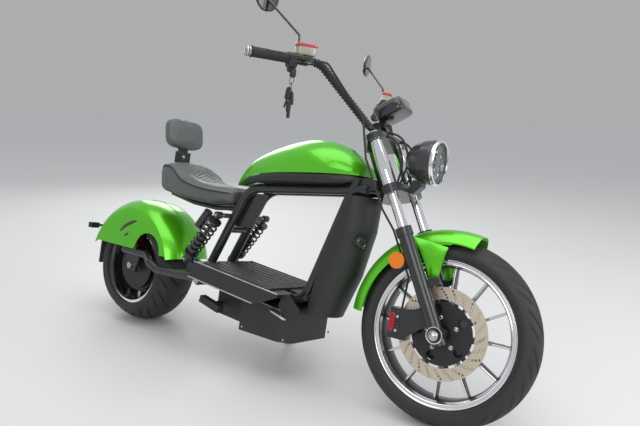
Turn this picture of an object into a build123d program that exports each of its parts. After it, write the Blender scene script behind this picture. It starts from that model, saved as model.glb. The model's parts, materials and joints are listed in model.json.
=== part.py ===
from build123d import *
import os
from math import cos, radians, sin, sqrt, tan

# Electric chopper scooter parked on its side stand, in millimetres.
# Every piece is drawn upright, X forward and Z up, with the rear wheel's middle at X = 0.
# It is then leaned onto the stand, and the middle of the whole outline moved to the origin.

LEAN = 11.36
MIDDLE_X = 708.06
MIDDLE_Y = 195.44
STEER = 5.14
RAKE = 28.6
WHEELBASE = 1444.0
FORK_OFFSET = 45.0
FORK_Y = 95.0
GAP = 0.3
RUN = 0.05

REAR_R = 238.0
REAR_W = 215.0
REAR_CROWN = 130.0
LIP = 3.6
FRONT_R = 293.0
FRONT_W = 110.0
FRONT_CROWN = 60.0

CL = cos(radians(LEAN))
SL = sin(radians(LEAN))
CR = cos(radians(RAKE))
SR = sin(radians(RAKE))
CS = cos(radians(STEER))
SS = sin(radians(STEER))


def rear_axle_height():
    """Height of the rear axle that puts the leaning tyre on the floor."""
    return REAR_R - REAR_CROWN + REAR_CROWN / CL


def front_axle_height():
    """Height of the front axle that puts the steered, leaning tyre on the floor."""
    forward = FORK_OFFSET * CS - FORK_OFFSET
    side = FORK_OFFSET * SS
    rise = forward * SR
    tilt_y = CS
    tilt_n = -SS
    axle_dir_z = tilt_n * SR * CL - tilt_y * SL
    drop = (FRONT_R - FRONT_CROWN) * sqrt(1 - axle_dir_z ** 2) + FRONT_CROWN
    return (drop + side * SL) / CL - rise


ZR = rear_axle_height()
ZF = front_axle_height()
AXLE_R = (0.0, 0.0, ZR)
AXLE_F = (WHEELBASE, 0.0, ZF)
FX = AXLE_F[0]

LEANED = Pos(-MIDDLE_X, -MIDDLE_Y, 0) * Rot(-LEAN, 0, 0)
TO_FORK = Pos(*AXLE_F) * Rot(0, -RAKE, 0)
TURNED = Pos(-FORK_OFFSET, 0, 0) * Rot(0, 0, STEER) * Pos(FORK_OFFSET, 0, 0)
STEERED = TO_FORK * TURNED * TO_FORK.inverse()


def fork_point(n, y, s):
    """A point given ahead of, across and up along the fork, in vehicle axes."""
    return (AXLE_F[0] + n * CR - s * SR, y, AXLE_F[2] + n * SR + s * CR)


def save(shape, name):
    """Write one node's solids."""
    export_step(shape, "parts/" + name + ".step")


def placed(shapes, where, name):
    """Move the solids of one node into the parked pose and write them."""
    solids = []
    for shape in shapes:
        solids += [where * solid for solid in shape.solids()]
    save(solids[0] if len(solids) == 1 else Compound(children=solids), name)


def put_root(name, *shapes):
    """Lean pieces of the frame's body and write them as one node."""
    placed(shapes, LEANED, name)


def put_steered(name, *shapes):
    """Steer, lean and write pieces of the fork's body as one node."""
    placed(shapes, LEANED * STEERED, name)


def tube(points, radius, bend):
    """A round bar swept along straight runs joined by arcs."""
    path = FilletPolyline(*points, radius=bend)
    section = Plane(origin=path @ 0, z_dir=path % 0) * Circle(radius)
    return sweep(section, path=path)


def rod(a, b, radius):
    """A straight round bar from point to point."""
    va = Vector(*a)
    vb = Vector(*b)
    place = Plane(origin=va, z_dir=vb - va)
    return extrude(place * Circle(radius), (vb - va).length)


def along_y(x, z, radius, y0, y1):
    """A disc or pin lying across the vehicle."""
    return rod((x, y0, z), (x, y1, z), radius)


def side_plate(points, y0, y1):
    """A plate drawn in side view and made thick across the vehicle."""
    face = make_face(Polyline(*[(p[0], 0, p[1]) for p in points], close=True))
    return Pos(0, y0, 0) * extrude(face, y1 - y0, dir=(0, 1, 0))


def box(x0, x1, y0, y1, z0, z1):
    """An upright block between its limits."""
    centre = Pos((x0 + x1) / 2, (y0 + y1) / 2, (z0 + z1) / 2)
    return centre * Box(abs(x1 - x0), abs(y1 - y0), abs(z1 - z0))


def wheel_turn(points):
    """Turn a profile of (radius, across) points about the wheel's axle."""
    face = make_face(Polyline(*[(r, y, 0) for r, y in points], close=True))
    return revolve(face, axis=Axis.Y)


def tyre(outer, width, crown, rim, seat, half_seat):
    """A tyre with round tread, bulging walls and a seat for the rim."""
    half = width / 2
    edge = half * 0.92
    edge_r = outer - crown + sqrt(crown ** 2 - edge ** 2)
    bulge_r = rim + (edge_r - rim) * 0.62
    tread = ThreePointArc((edge_r, -edge), (outer, 0), (edge_r, edge))
    lip = half_seat + LIP
    wall_a = ThreePointArc((edge_r, edge), (bulge_r, half), (rim + 3, lip))
    seat_l = Polyline(
        (rim + 3, lip), (rim, lip), (rim, half_seat), (seat, half_seat),
        (seat, -half_seat), (rim, -half_seat), (rim, -lip), (rim + 3, -lip),
    )
    wall_b = ThreePointArc((rim + 3, -lip), (bulge_r, -half), (edge_r, -edge))
    face = make_face(Wire([*tread.edges(), *wall_a.edges(), *seat_l.edges(), *wall_b.edges()]))
    return revolve(face, axis=Axis.Y)


os.makedirs("parts", exist_ok=True)

# Front wheel, drawn about its own axle.
RIM_F = 230.0
RIM_F_HALF = 48.0
BED_F = 213.0
SPOKES = 12
HUB_F_R = 40.0
AXLE_R_MM = 8.0

front_rim = wheel_turn([
    (RIM_F, -RIM_F_HALF),
    (RIM_F, -RIM_F_HALF + 4),
    (BED_F, -RIM_F_HALF + 4),
    (BED_F, RIM_F_HALF - 4),
    (RIM_F, RIM_F_HALF - 4),
    (RIM_F, RIM_F_HALF),
    (212, RIM_F_HALF),
    (204, 24),
    (204, -24),
    (212, -RIM_F_HALF),
])
hub_f = Rot(90, 0, 0) * Cylinder(HUB_F_R, 76)
front_rim = front_rim + hub_f
for i in range(SPOKES):
    turn = Rot(0, i * 360 / SPOKES, 0)
    root = Plane(origin=(34, 0, 0), z_dir=(1, 0, 0)) * Rectangle(46, 15)
    tip = Plane(origin=(207, 0, 0), z_dir=(1, 0, 0)) * Rectangle(34, 10)
    front_rim = front_rim + turn * loft([root, tip])
front_rim = front_rim - Rot(90, 0, 0) * Cylinder(AXLE_R_MM + RUN, 100)
front_tyre = tyre(FRONT_R, FRONT_W, FRONT_CROWN, RIM_F + GAP, BED_F + GAP, RIM_F_HALF - 4 - GAP)

DISC_F_OUT = 144.5
DISC_F_IN = 106.0
DISC_F_Y = 50.0
DISC_T = 4.5
CARRIER_IN = 44.0
CARRIER_PCD = 60.0

disc_ring = Pos(0, -DISC_F_Y, 0) * Rot(90, 0, 0) * (
    Cylinder(DISC_F_OUT, DISC_T) - Cylinder(DISC_F_IN, DISC_T)
)
hole_rows = [(112.5, 0.0), (120.5, 3.0), (128.5, 6.0), (136.5, 9.0)]
for radius, lead in hole_rows:
    for i in range(24):
        angle = radians(i * 15 + lead)
        x = radius * cos(angle)
        z = radius * sin(angle)
        disc_ring = disc_ring - Pos(x, -DISC_F_Y, z) * Rot(90, 0, 0) * Cylinder(2.6, DISC_T)

carrier = Pos(0, -DISC_F_Y, 0) * Rot(90, 0, 0) * (Cylinder(98, 6) - Cylinder(30, 6))
for i in range(5):
    angle = radians(i * 72 + 36)
    window = Pos(76 * cos(angle), -DISC_F_Y, 76 * sin(angle)) * Rot(90, 0, 0) * Cylinder(15, 6)
    carrier = carrier - window
for i in range(10):
    lug = Rot(0, i * 36, 0) * Pos(102.5, -DISC_F_Y, 0) * Box(11, 6, 14)
    carrier = carrier + lug
carrier = carrier + Rot(90, 0, 0) * Pos(0, 0, (DISC_F_Y + 38 + GAP) / 2) * Cylinder(
    38, DISC_F_Y - 38 - GAP
) - Rot(90, 0, 0) * Pos(0, 0, DISC_F_Y) * Cylinder(30, 40)

FRONT_WHEEL = Pos(*AXLE_F)
for name, shape in [
    ("front_tyre", front_tyre),
    ("front_rim", front_rim),
    ("front_disc", disc_ring + carrier),
]:
    put_steered(name, FRONT_WHEEL * shape)

# Rear wheel with the motor in its hub.
RIM_R = 163.0
RIM_R_HALF = 88.0
BED_R = 154.0
MOTOR_R = 112.0
rear_rim = wheel_turn([
    (RIM_R, -RIM_R_HALF),
    (RIM_R, -RIM_R_HALF + 5),
    (BED_R, -RIM_R_HALF + 5),
    (BED_R, RIM_R_HALF - 5),
    (RIM_R, RIM_R_HALF - 5),
    (RIM_R, RIM_R_HALF),
    (152, RIM_R_HALF),
    (144, 50),
    (144, -50),
    (152, -RIM_R_HALF),
])
rear_rim = rear_rim + Rot(90, 0, 0) * (Cylinder(MOTOR_R + 6, 60) - Cylinder(MOTOR_R, 60))
for i in range(SPOKES):
    arm = Rot(0, i * 360 / SPOKES, 0) * Pos(131, 0, 0) * Box(30, 40, 12)
    rear_rim = rear_rim + arm
motor = Rot(90, 0, 0) * Cylinder(MOTOR_R - GAP, 100)
motor = motor + Rot(90, 0, 0) * Cylinder(60, 116)
motor = motor - Rot(90, 0, 0) * Cylinder(AXLE_R_MM + RUN, 130)
rear_tyre = tyre(REAR_R, REAR_W, REAR_CROWN, RIM_R + GAP, BED_R + GAP, RIM_R_HALF - 5 - GAP)
REAR_DISC_Y = 64.0
rear_disc = Pos(0, -REAR_DISC_Y, 0) * Rot(90, 0, 0) * (Cylinder(100, 5) - Cylinder(30, 5))
rear_disc = rear_disc + Rot(90, 0, 0) * Pos(0, 0, (58 + REAR_DISC_Y) / 2) * (
    Cylinder(40, REAR_DISC_Y - 58) - Cylinder(30, 40)
)
REAR_WHEEL = Pos(*AXLE_R)
for name, shape in [
    ("rear_tyre", rear_tyre),
    ("rear_rim", rear_rim),
    ("hub_motor", motor + rear_disc),
]:
    put_root(name, REAR_WHEEL * shape)

# Main frame: two bent tube loops, a head tube and the cross pieces.
TUBE_R = 17.5
LOOP_Y = 56.0
DECK_X0 = 455.0
DECK_X1 = FX - 558
DECK_Z0 = 341.0
DECK_SLOPE = 0.095
DECK_T = 12.0
RAIL_DROP = DECK_T + GAP + TUBE_R


def deck_z(x):
    """Height of the deck plate's top at a place along the vehicle."""
    return DECK_Z0 - DECK_SLOPE * (x - DECK_X0)


def rail_z(x):
    """Height of the lower rail's middle line."""
    return deck_z(x) - RAIL_DROP


BASE_UNDER = [(520, 575), (420, 562), (290, 568), (150, 592), (112, 598.6)]
SEAT_RAIL_R = 9.0
SEAT_RAIL_Y = 48.0
HEAD_S0 = 500.0
HEAD_S1 = 648.0
STEM_R = 14.0
HEAD_R = 27.0
SHOCK_Y = 138.0
SHOCK_LOW = (385.0, 338.0)
SHOCK_TOP = (524.0, 532.0)
PIN_R = 6.0
LUG_X = 478.0
LUG_Z = 270.0

# The upper frame tubes run from the head to the bend above the rear strut.
UPPER_A = (FX - 326, 704)
UPPER_B = (586, 651)


def upper_z(x):
    """Height of the upper frame tubes' middle line."""
    return UPPER_B[1] + (x - UPPER_B[0]) * (UPPER_A[1] - UPPER_B[1]) / (UPPER_A[0] - UPPER_B[0])


frame_parts = []
for side in (-1, 1):
    y = side * LOOP_Y
    upper = tube([(UPPER_A[0], y, UPPER_A[1]), (UPPER_B[0], y, UPPER_B[1]), (438, y, 326)], TUBE_R, 105)
    lower = tube([(FX - 374, y, 740), (FX - 527, y, rail_z(FX - 527)), (430, y, rail_z(430))], TUBE_R, 95)
    lug = box(LUG_X - 22, LUG_X + 22, y - 9, y + 9, LUG_Z - 22, rail_z(LUG_X))
    boss = along_y(SHOCK_TOP[0], SHOCK_TOP[1], 9, y, side * 109)
    rail = [(x, side * SEAT_RAIL_Y, z - SEAT_RAIL_R - 0.6) for x, z in BASE_UNDER[1:4]]
    rail = [(550, side * SEAT_RAIL_Y, BASE_UNDER[0][1] - SEAT_RAIL_R)] + rail
    frame_parts += [upper, lower, lug, boss, tube(rail, SEAT_RAIL_R, 40)]
CROSSES = [(FX - 332, 703, 15.0), (FX - 378, 728, 13.0), (505, 478, 13.0), (640, 656, 12.0),
           (FX - 574, rail_z(FX - 574), 12.0), (560, rail_z(560), 12.0)]
for x, z, radius in CROSSES:
    frame_parts.append(along_y(x, z, radius, -LOOP_Y, LOOP_Y))
head = rod(fork_point(-FORK_OFFSET, 0, HEAD_S0), fork_point(-FORK_OFFSET, 0, HEAD_S1), HEAD_R)
gusset_line = [(FX - 394, 697), (FX - 294, 706), (FX - 301, 740), (FX - 332, 744), (FX - 382, 738)]
gusset = side_plate(gusset_line, -LOOP_Y, LOOP_Y)
frame = head + gusset
for shape in frame_parts:
    frame = frame + shape
stem_bore = rod(
    fork_point(-FORK_OFFSET, 0, HEAD_S0 - 20),
    fork_point(-FORK_OFFSET, 0, HEAD_S1 + 20),
    STEM_R + RUN,
)
frame = frame - stem_bore
PIVOT_R = 8.0
frame = frame - along_y(LUG_X, LUG_Z, PIVOT_R + GAP, -80, 80)

STAND_P = (640.0, 148.0, 160.0)
STAND_FOOT = (682.0, 214.0, 48.0)
STAND_AXIS = (0.0, 0.86, 0.51)
STAND_BOLT_R = 5.0
stand_way = Vector(*STAND_AXIS).normalized()
stand_mid = Vector(*STAND_P)


def stand_rod(start, end, radius):
    """A round piece on the stand's pivot, between places along it."""
    return rod(tuple(stand_mid + stand_way * start), tuple(stand_mid + stand_way * end), radius)


frame = frame + tube([(640, LOOP_Y, 291), (640, 122, 291), (640, 122, 150)], 10, 18)
frame = frame - stand_rod(-10.5, 30, 17.5)
frame = frame + stand_rod(-34, -10.5, 17)
frame = frame - stand_rod(-60, 60, STAND_BOLT_R + GAP)
put_root("main_frame", frame)

# Tank cover, the tray under it and the panel between the rear struts.
TANK_BACK = 512.0
TANK_NOSE = FX - 366


def tank_x(part):
    """A station along the tank, in 566ths of its length."""
    return TANK_BACK + (TANK_NOSE - TANK_BACK) * part / 566


tank_rows = [
    (tank_x(0), 42.0, 650.0, 690.0),
    (tank_x(98), 84.0, 694.0, 788.0),
    (tank_x(238), 116.0, 716.0, 842.0),
    (tank_x(378), 130.0, 728.0, 866.0),
    (tank_x(493), 112.0, 738.0, 836.0),
    (tank_x(566), 66.0, 744.0, 782.0),
]
tank_sections = []
for x, half, low, top in tank_rows:
    wall = low + (top - low) * 0.25
    outline = Wire([
        Edge.make_line((x, -half * 0.9, low), (x, half * 0.9, low)),
        Edge.make_line((x, half * 0.9, low), (x, half, wall)),
        Edge.make_three_point_arc((x, half, wall), (x, 0, top), (x, -half, wall)),
        Edge.make_line((x, -half, wall), (x, -half * 0.9, low)),
    ])
    tank_sections.append(Face(outline))
TRAY_TOP = [(tank_x(148), 712), (tank_x(238), 723), (tank_x(378), 735), (tank_x(493), 744), (tank_x(524), 746)]
tank_floor = [(480, 640), (tank_x(88), 700)] + [(x, z + GAP) for x, z in TRAY_TOP] + [(FX - 344, 750)]
tank = loft(tank_sections) - side_plate(tank_floor + [(FX - 344, 600), (480, 600)], -200, 200)
put_root("tank_cover", tank)

tray_back, tray_nose = tank_x(144), tank_x(524)
tray_low = [(tray_back, upper_z(tray_back) + 18.226316), (tray_nose, upper_z(tray_nose) + 18.169173)]
tray = side_plate(tray_low + TRAY_TOP[::-1], -92, 92)
strut_panel = side_plate([(520, 494), (548, 494), (612, 634), (584, 634)], -LOOP_Y + 18, LOOP_Y - 18)
put_root("infill_panels", tray, strut_panel)

# Seat, its base and the backrest.
seat_rows = [
    (104.0, 96.0, 594.0, 700.0),
    (180.0, 132.0, 580.0, 706.0),
    (290.0, 138.0, 562.0, 672.0),
    (420.0, 124.0, 556.0, 642.0),
    (528.0, 78.0, 566.0, 642.0),
]
seat_sections = []
for x, half, low, top in seat_rows:
    centre = Plane(origin=(x, 0, (low + top) / 2), x_dir=(0, 1, 0), z_dir=(1, 0, 0))
    seat_sections.append(centre * RectangleRounded(2 * half, top - low, (top - low) * 0.3))
seat = loft(seat_sections)
stay_slot = box(119.7, 128.3, -40.3, 40.3, 500, 800)
SEAT_FLOOR = [(60, 618), (150, 602), (290, 580), (420, 574), (560, 590)]
seat = seat - side_plate(SEAT_FLOOR + [(560, 500), (60, 500)], -200, 200) - stay_slot
put_root("seat", seat)
BASE_TOP = [(112, 608.75), (150, 602), (290, 580), (420, 574), (520, 585.43)]
base_top = [(x, z - GAP) for x, z in BASE_TOP]
seat_base = side_plate(base_top + BASE_UNDER, -58, 58)
pad_space = Pos(110, 0, 836) * Rot(0, -12, 0) * Box(60.6, 220, 150.6)
seat_base = seat_base + (box(120, 128, -40, 40, 600, 790) - pad_space)
put_root("seat_base", seat_base)

# Deck with sloping skirts, its mat, and the bracket-like pegs.
deck_half = 165.0
skirt_half = 186.0
skirt_drop = 58.0
skin = 4.0
deck_place = Plane(origin=(DECK_X0, 0, DECK_Z0), x_dir=(0, 1, 0), z_dir=(1, 0, -DECK_SLOPE))
deck_outline = [
    (-deck_half, 0), (deck_half, 0), (skirt_half, -skirt_drop), (skirt_half - skin, -skirt_drop),
    (deck_half - skin, -DECK_T), (-deck_half + skin, -DECK_T), (-skirt_half + skin, -skirt_drop),
    (-skirt_half, -skirt_drop),
]
deck = extrude(deck_place * make_face(Polyline(*deck_outline, close=True)), DECK_X1 - DECK_X0)
nose_line = [(FX - 560, 290), (FX - 647, 248), (FX - 675, 210), (FX - 484, 200), (FX - 484, 290)]
cut_nose = side_plate(nose_line, -260, 260)
deck = deck - cut_nose
for side in (-1, 1):
    notch = side * LOOP_Y
    deck = deck - box(FX - 608, FX - 484, notch - TUBE_R - 1, notch + TUBE_R + 1, 240, 400)
    deck = deck - box(430, 486, notch - TUBE_R - 1, notch + TUBE_R + 1, 240, 400)
put_root("deck", deck)
mat_start = Plane(origin=(490, 0, deck_z(490)), x_dir=(0, 1, 0), z_dir=(1, 0, -DECK_SLOPE))
mat = extrude(mat_start * (Pos(0, 2 + GAP / 2, 0) * Rectangle(2 * deck_half - 16, 4 - GAP)), FX - 612 - 490)
put_root("deck_mat", mat)

# Battery boxes under the deck and behind the front wheel.
BOX_LOW = 134.0
BOX_X1 = FX - 512
front_box_side = side_plate([
    (708, BOX_LOW), (BOX_X1, BOX_LOW), (BOX_X1, 236), (BOX_X1 - 27, 244), (708, rail_z(708) - TUBE_R - GAP),
], -140, 140)
front_box = front_box_side
for side in (-1, 1):
    corner = Plane.XY * make_face(Polyline(
        (BOX_X1 - 45, side * 141, 0), (BOX_X1 + 1, side * 141, 0), (BOX_X1 + 1, side * 96, 0), close=True,
    ))
    front_box = front_box - extrude(Pos(0, 0, 100) * corner, 200)
inner = box(716, BOX_X1 - 12, -92, 92, BOX_LOW + 4, 228)
front_box = front_box - inner
guard_line = [
    (BOX_X1 - 60, 262), (BOX_X1 - 48, 300), (BOX_X1 - 24, 306), (BOX_X1 + 30, 266), (BOX_X1 + 30, 246),
    (BOX_X1 - 4, 230), (BOX_X1 - 52, 230),
]
for side in (-1, 1):
    front_box = front_box + side_plate(guard_line, side * 134 - 3, side * 134 + 3)
front_box = front_box - deck - inner
put_root("battery_pack", box(720, BOX_X1 - 16, -88, 88, BOX_LOW + 4, 222))
rear_box = side_plate([
    (548, 160), (707.7, 148), (707.7, rail_z(708) - TUBE_R - GAP), (548, rail_z(548) - TUBE_R - GAP),
], -100, 100)
put_root("battery_box", front_box, rear_box)

leg_rows = [
    (680.0, FX - 374.5, FX - 360, FX - 310),
    (560.0, FX - 413.1, FX - 382, FX - 312),
    (400.0, FX - 464.4, FX - 442, FX - 344),
    (246.0, FX - 488, FX - 478, FX - 400),
]
LEG_HALF = 85.0
leg_sections = []
for z, back, edge, nose in leg_rows:
    outline = Wire([
        Edge.make_line((edge, -LEG_HALF, z), (back, -LEG_HALF, z)),
        Edge.make_line((back, -LEG_HALF, z), (back, LEG_HALF, z)),
        Edge.make_line((back, LEG_HALF, z), (edge, LEG_HALF, z)),
        Edge.make_three_point_arc((edge, LEG_HALF, z), (nose, 0, z), (edge, -LEG_HALF, z)),
    ])
    leg_sections.append(Face(outline))
leg_panel = loft(leg_sections, ruled=True)
port_a = (FX - 384, -40, 524)
port_b = (FX - 320, -56, 528)
leg_panel = leg_panel + rod(port_a, port_b, 20)
put_root("leg_panel", leg_panel)

# Swingarm: two arms, cross tube, axle plates and lugs.
ARM_R = 17.0
ARM_Y = 137.0
arm_path = [(LUG_X + 4, 281), (330, 266), (222, 262), (166, 283), (104, 303), (-50, 305)]
arm_across = [ARM_Y, ARM_Y, ARM_Y, ARM_Y, 104, 104]
swing_parts = []
for side in (-1, 1):
    points = [(p[0], side * w, p[1]) for p, w in zip(arm_path, arm_across)]
    swing_parts.append(tube(points, ARM_R, 30))
    swing_parts.append(side_plate([(-46, 300), (50, 300), (26, 216), (-26, 216)], side * 90 - 5, side * 90 + 5))
    swing_parts.append(side_plate([(366, 270), (404, 270), (394, 350), (376, 350)], side * 112 - 5, side * 112 + 5))
    swing_parts.append(side_plate([(366, 262), (404, 262), (404, 280), (366, 280)], side * 124 - 12, side * 124 + 12))
    for x in (-38, 34):
        swing_parts.append(box(x - 11, x + 11, side * 106, side * (122 - 3 - GAP), 300, 342))
swing_parts.append(along_y(310, 266, 16, -ARM_Y, ARM_Y))
swing_parts.append(along_y(LUG_X, LUG_Z, 18, -ARM_Y - 19, -LOOP_Y - 9 - GAP))
swing_parts.append(along_y(LUG_X, LUG_Z, 18, LOOP_Y + 9 + GAP, ARM_Y + 19))
swing_parts.append(box(-50, -14, -95, -85, 296, 344))
swing = swing_parts[0]
for shape in swing_parts[1:]:
    swing = swing + shape
swing = swing - along_y(0, ZR, AXLE_R_MM + GAP, -120, 120)
swing = swing - along_y(LUG_X, LUG_Z, PIVOT_R + GAP, -180, 180)
swing = swing - along_y(SHOCK_LOW[0], SHOCK_LOW[1], PIN_R + GAP, -130, 130)
put_root("swingarm", swing)
SLEEVE_Y = ARM_Y + 19
pivot = along_y(LUG_X, LUG_Z, PIVOT_R, -SLEEVE_Y - 8, SLEEVE_Y + 8)
for side in (-1, 1):
    pivot = pivot + along_y(LUG_X, LUG_Z, 13, side * (SLEEVE_Y + GAP), side * (SLEEVE_Y + 8))
rear_axle = along_y(0, ZR, AXLE_R_MM, -104, 104)
rear_axle = rear_axle + along_y(0, ZR, 13, -108, -95.3) + along_y(0, ZR, 13, 95.3, 108)

# Shocks: damper, coil spring and pins on each side.
CAN_R = 17.0
CAN_OFF = 48.0
CAN_LOW = 135.0
CAN_TOP = 213.0
dampers = []
springs = []
for side in (-1, 1):
    low = Vector(SHOCK_LOW[0], side * SHOCK_Y, SHOCK_LOW[1])
    top = Vector(SHOCK_TOP[0], side * SHOCK_Y, SHOCK_TOP[1])
    way = (top - low).normalized()
    length = (top - low).length
    body = rod(tuple(low + way * 6), tuple(low + way * (length * 0.5)), 17)
    body = body + rod(tuple(low + way * (length * 0.5)), tuple(top - way * 6), 7)
    body = body + rod(tuple(low + way * 28), tuple(low + way * 36), 28)
    body = body + rod(tuple(top - way * 36), tuple(top - way * 26), 29)
    for eye in (low, top):
        body = body + along_y(eye.X, eye.Z, 14, eye.Y - 12, eye.Y + 12)
        body = body - along_y(eye.X, eye.Z, PIN_R + GAP, eye.Y - 20, eye.Y + 20)
    aside = Vector(-way.Z, 0, way.X) * CAN_OFF
    body = body + rod(tuple(low + way * CAN_LOW + aside), tuple(low + way * CAN_TOP + aside), CAN_R)
    bridge = low + way * (length - 31)
    body = body + rod(tuple(bridge), tuple(bridge + aside), 4)
    dampers.append(body)
    coil_low = low + way * (36 + 4 + GAP)
    coil_len = length - 36 - 36 - 8 - 2 * GAP
    place = Plane(origin=coil_low, z_dir=way)
    path = place * Helix(pitch=coil_len / 7, height=coil_len, radius=25)
    wire = Plane(origin=path @ 0, z_dir=path % 0) * Circle(4)
    springs.append(sweep(wire, path=path, is_frenet=True))
put_root("shock_bodies", *dampers)
put_root("shock_springs", *springs)
pins = []
for side in (-1, 1):
    pins.append(along_y(SHOCK_LOW[0], SHOCK_LOW[1], PIN_R, side * 100, side * 154))
    pins.append(along_y(SHOCK_TOP[0], SHOCK_TOP[1], PIN_R, side * (109 + GAP), side * 154))
stand_bolt = stand_rod(-34, 14, STAND_BOLT_R) + stand_rod(10.5, 16, 9)
put_root("axle_bolts", pivot, rear_axle, *pins, stand_bolt)

# Rear fender, turned about the axle and cut to its outline.
FEND_R = 292.0
FEND_Y = 122.0
FEND_T = 3.0


def fender_profile(r_top, half, r_low, t):
    """Arch section of a fender in (radius, across)."""
    outer = [(r_low, -half), (r_top - 34, -half), (r_top - 8, -half * 0.74), (r_top, -half * 0.3)]
    inner = [(r_low, -half + t), (r_top - 35, -half + t), (r_top - 10, -half * 0.73 + t * 0.7),
             (r_top - t, -half * 0.3)]
    over = outer + [(r, -y) for r, y in reversed(outer)]
    under = inner + [(r, -y) for r, y in reversed(inner)]
    return over + list(reversed(under))


def swept_fender(r_top, half, r_low, t, centre, start, span):
    """Turn an arch section through part of a circle."""
    face = make_face(Polyline(*[(r, y, 0) for r, y in fender_profile(r_top, half, r_low, t)], close=True))
    piece = revolve(face, axis=Axis.Y, revolution_arc=span)
    return Pos(*centre) * Rot(0, -start, 0) * piece


rear_fender = swept_fender(FEND_R, FEND_Y, 60, FEND_T, AXLE_R, 190, 200)
rear_fender = rear_fender - box(-400, 60, -200, 200, 0, 318)
rear_fender = rear_fender - box(20, 400, -200, 200, 0, 318)
rear_fender = rear_fender - along_y(118, 318, 80, -200, 200)
slot = Pos(-20, -FEND_Y, 409) * Rot(90, -30, 0) * SlotOverall(112, 12)
rear_fender = rear_fender - extrude(slot, 10, both=True)
put_root("rear_fender", rear_fender)
crown_space = along_y(0, ZR, FEND_R + GAP, -60, 60)
tail_bracket = side_plate([(-320, 196), (-312, 196), (-312, 296), (-262, 340), (-270, 362), (-320, 306)], -32, 32)
tail_bracket = tail_bracket - crown_space
for y in (-20, 20):
    tail_bracket = tail_bracket - rod((-330, y, 230), (-300, y, 230), 3.2)
put_root("plate_bracket", tail_bracket)
tail_lamp = box(-306, -250, -26, 26, 362 + GAP, 388) - crown_space
for side in (-1, 1):
    tail_lamp = tail_lamp + box(-301, -291, side * 20, side * 84, 370, 380)
    tail_lamp = tail_lamp + box(-308, -284, side * 80, side * 122, 363, 387)
put_root("tail_lamp", tail_lamp)

# Backrest pad on its bracket behind the passenger.
pad = Pos(110, 0, 836) * Rot(0, -12, 0) * Box(60, 200, 150)
pad = fillet(pad.edges(), 22)
put_root("backrest", pad)

# Folded pegs on stubs from the controller box.
pegs = []
for side in (-1, 1):
    peg = Pos(565, side * 152, 198) * Rot(0, 12, 0) * Box(104, 28, 26)
    stub = rod((565, side * (100 + GAP), 198), (565, side * 150, 198), 9)
    pegs.append(peg + stub)
put_root("pegs", *pegs)

# Steering: yokes, fork legs and covers, drawn ahead of, across and up the fork.
YOKE_LOW = (462.0, 492.0)
YOKE_TOP = (652.0, 674.0)
TUBE_F_R = 16.5
LEG_R = 23.0
LEG_TOP = 345.0
BAR_N = -12.0
BAR_S = 702.0
BAR_R = 11.0


def fork_rod(n, y, s0, s1, radius):
    """A bar parallel to the fork."""
    return TO_FORK * Pos(n, y, (s0 + s1) / 2) * Cylinder(radius, s1 - s0)


def fork_box(n0, n1, y0, y1, s0, s1):
    """A block squared up to the fork."""
    return TO_FORK * box(n0, n1, y0, y1, s0, s1)


def yoke(span):
    """The plate that ties both fork tubes to the steering stem."""
    corners = [(30, -95), (30, 95), (8, 122), (-20, 118), (-72, 26), (-72, -26), (-20, -118), (8, -122)]
    plate = extrude(Pos(0, 0, span[0]) * make_face(Polyline(*corners, close=True)), span[1] - span[0])
    plate = plate + Pos(0, 95, sum(span) / 2) * Cylinder(28, span[1] - span[0])
    plate = plate + Pos(0, -95, sum(span) / 2) * Cylinder(28, span[1] - span[0])
    plate = TO_FORK * plate
    for y in (-FORK_Y, FORK_Y):
        plate = plate - fork_rod(0, y, span[0] - 5, span[1] + 5, TUBE_F_R + GAP)
    return plate


lower_yoke = yoke(YOKE_LOW) + fork_rod(-FORK_OFFSET, 0, YOKE_LOW[0], YOKE_TOP[1] + 8, STEM_R)
upper_yoke = yoke(YOKE_TOP) - fork_rod(-FORK_OFFSET, 0, 600, 700, STEM_R + GAP)
for side in (-1, 1):
    upper_yoke = upper_yoke + fork_box(BAR_N - 16, BAR_N + 16, side * 38 - 13, side * 38 + 13, 670, 722)
bar_line = rod(fork_point(BAR_N, -60, BAR_S), fork_point(BAR_N, 60, BAR_S), BAR_R + GAP)
upper_yoke = upper_yoke - bar_line

tubes = []
legs = []
covers = []
cover_rows = [(17.6, 492.3), (23.5, 492.3), (24.5, 540), (22.5, 600), (19.5, 651.7), (17.6, 651.7)]
for side in (-1, 1):
    y = side * FORK_Y
    tubes.append(fork_rod(0, y, 250, 682, TUBE_F_R))
    leg = fork_rod(0, y, -34, 330, LEG_R) + fork_rod(0, y, 318, LEG_TOP, 26.5)
    leg = leg + TO_FORK * Rot(90, 0, 0) * Pos(0, 0, -y) * Cylinder(25, 46)
    leg = leg - fork_rod(0, y, 249, LEG_TOP + 5, TUBE_F_R + GAP)
    leg = leg + fork_box(18, 58, y - side * 2, y - side * (23.5 - GAP), 142, 166)
    if side < 0:
        arm = [(FX - 134, 336), (FX - 122, 262), (FX - 99, 262), (FX - 24, 320), (FX - 46, 366)]
        leg = leg + side_plate(arm, -86, -76)
        leg = leg - along_y(AXLE_F[0], AXLE_F[2], 26, -76, -60)
    leg = leg - along_y(AXLE_F[0], AXLE_F[2], AXLE_R_MM + GAP, y - 40, y + 40)
    legs.append(leg)
    profile = make_face(Polyline(*[(r, 0, s) for r, s in cover_rows], close=True))
    covers.append(TO_FORK * Pos(0, y, 0) * revolve(profile, axis=Axis.Z))
put_steered("fork_tubes", *tubes, *covers)
put_steered("fork_legs", *legs)

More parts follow.
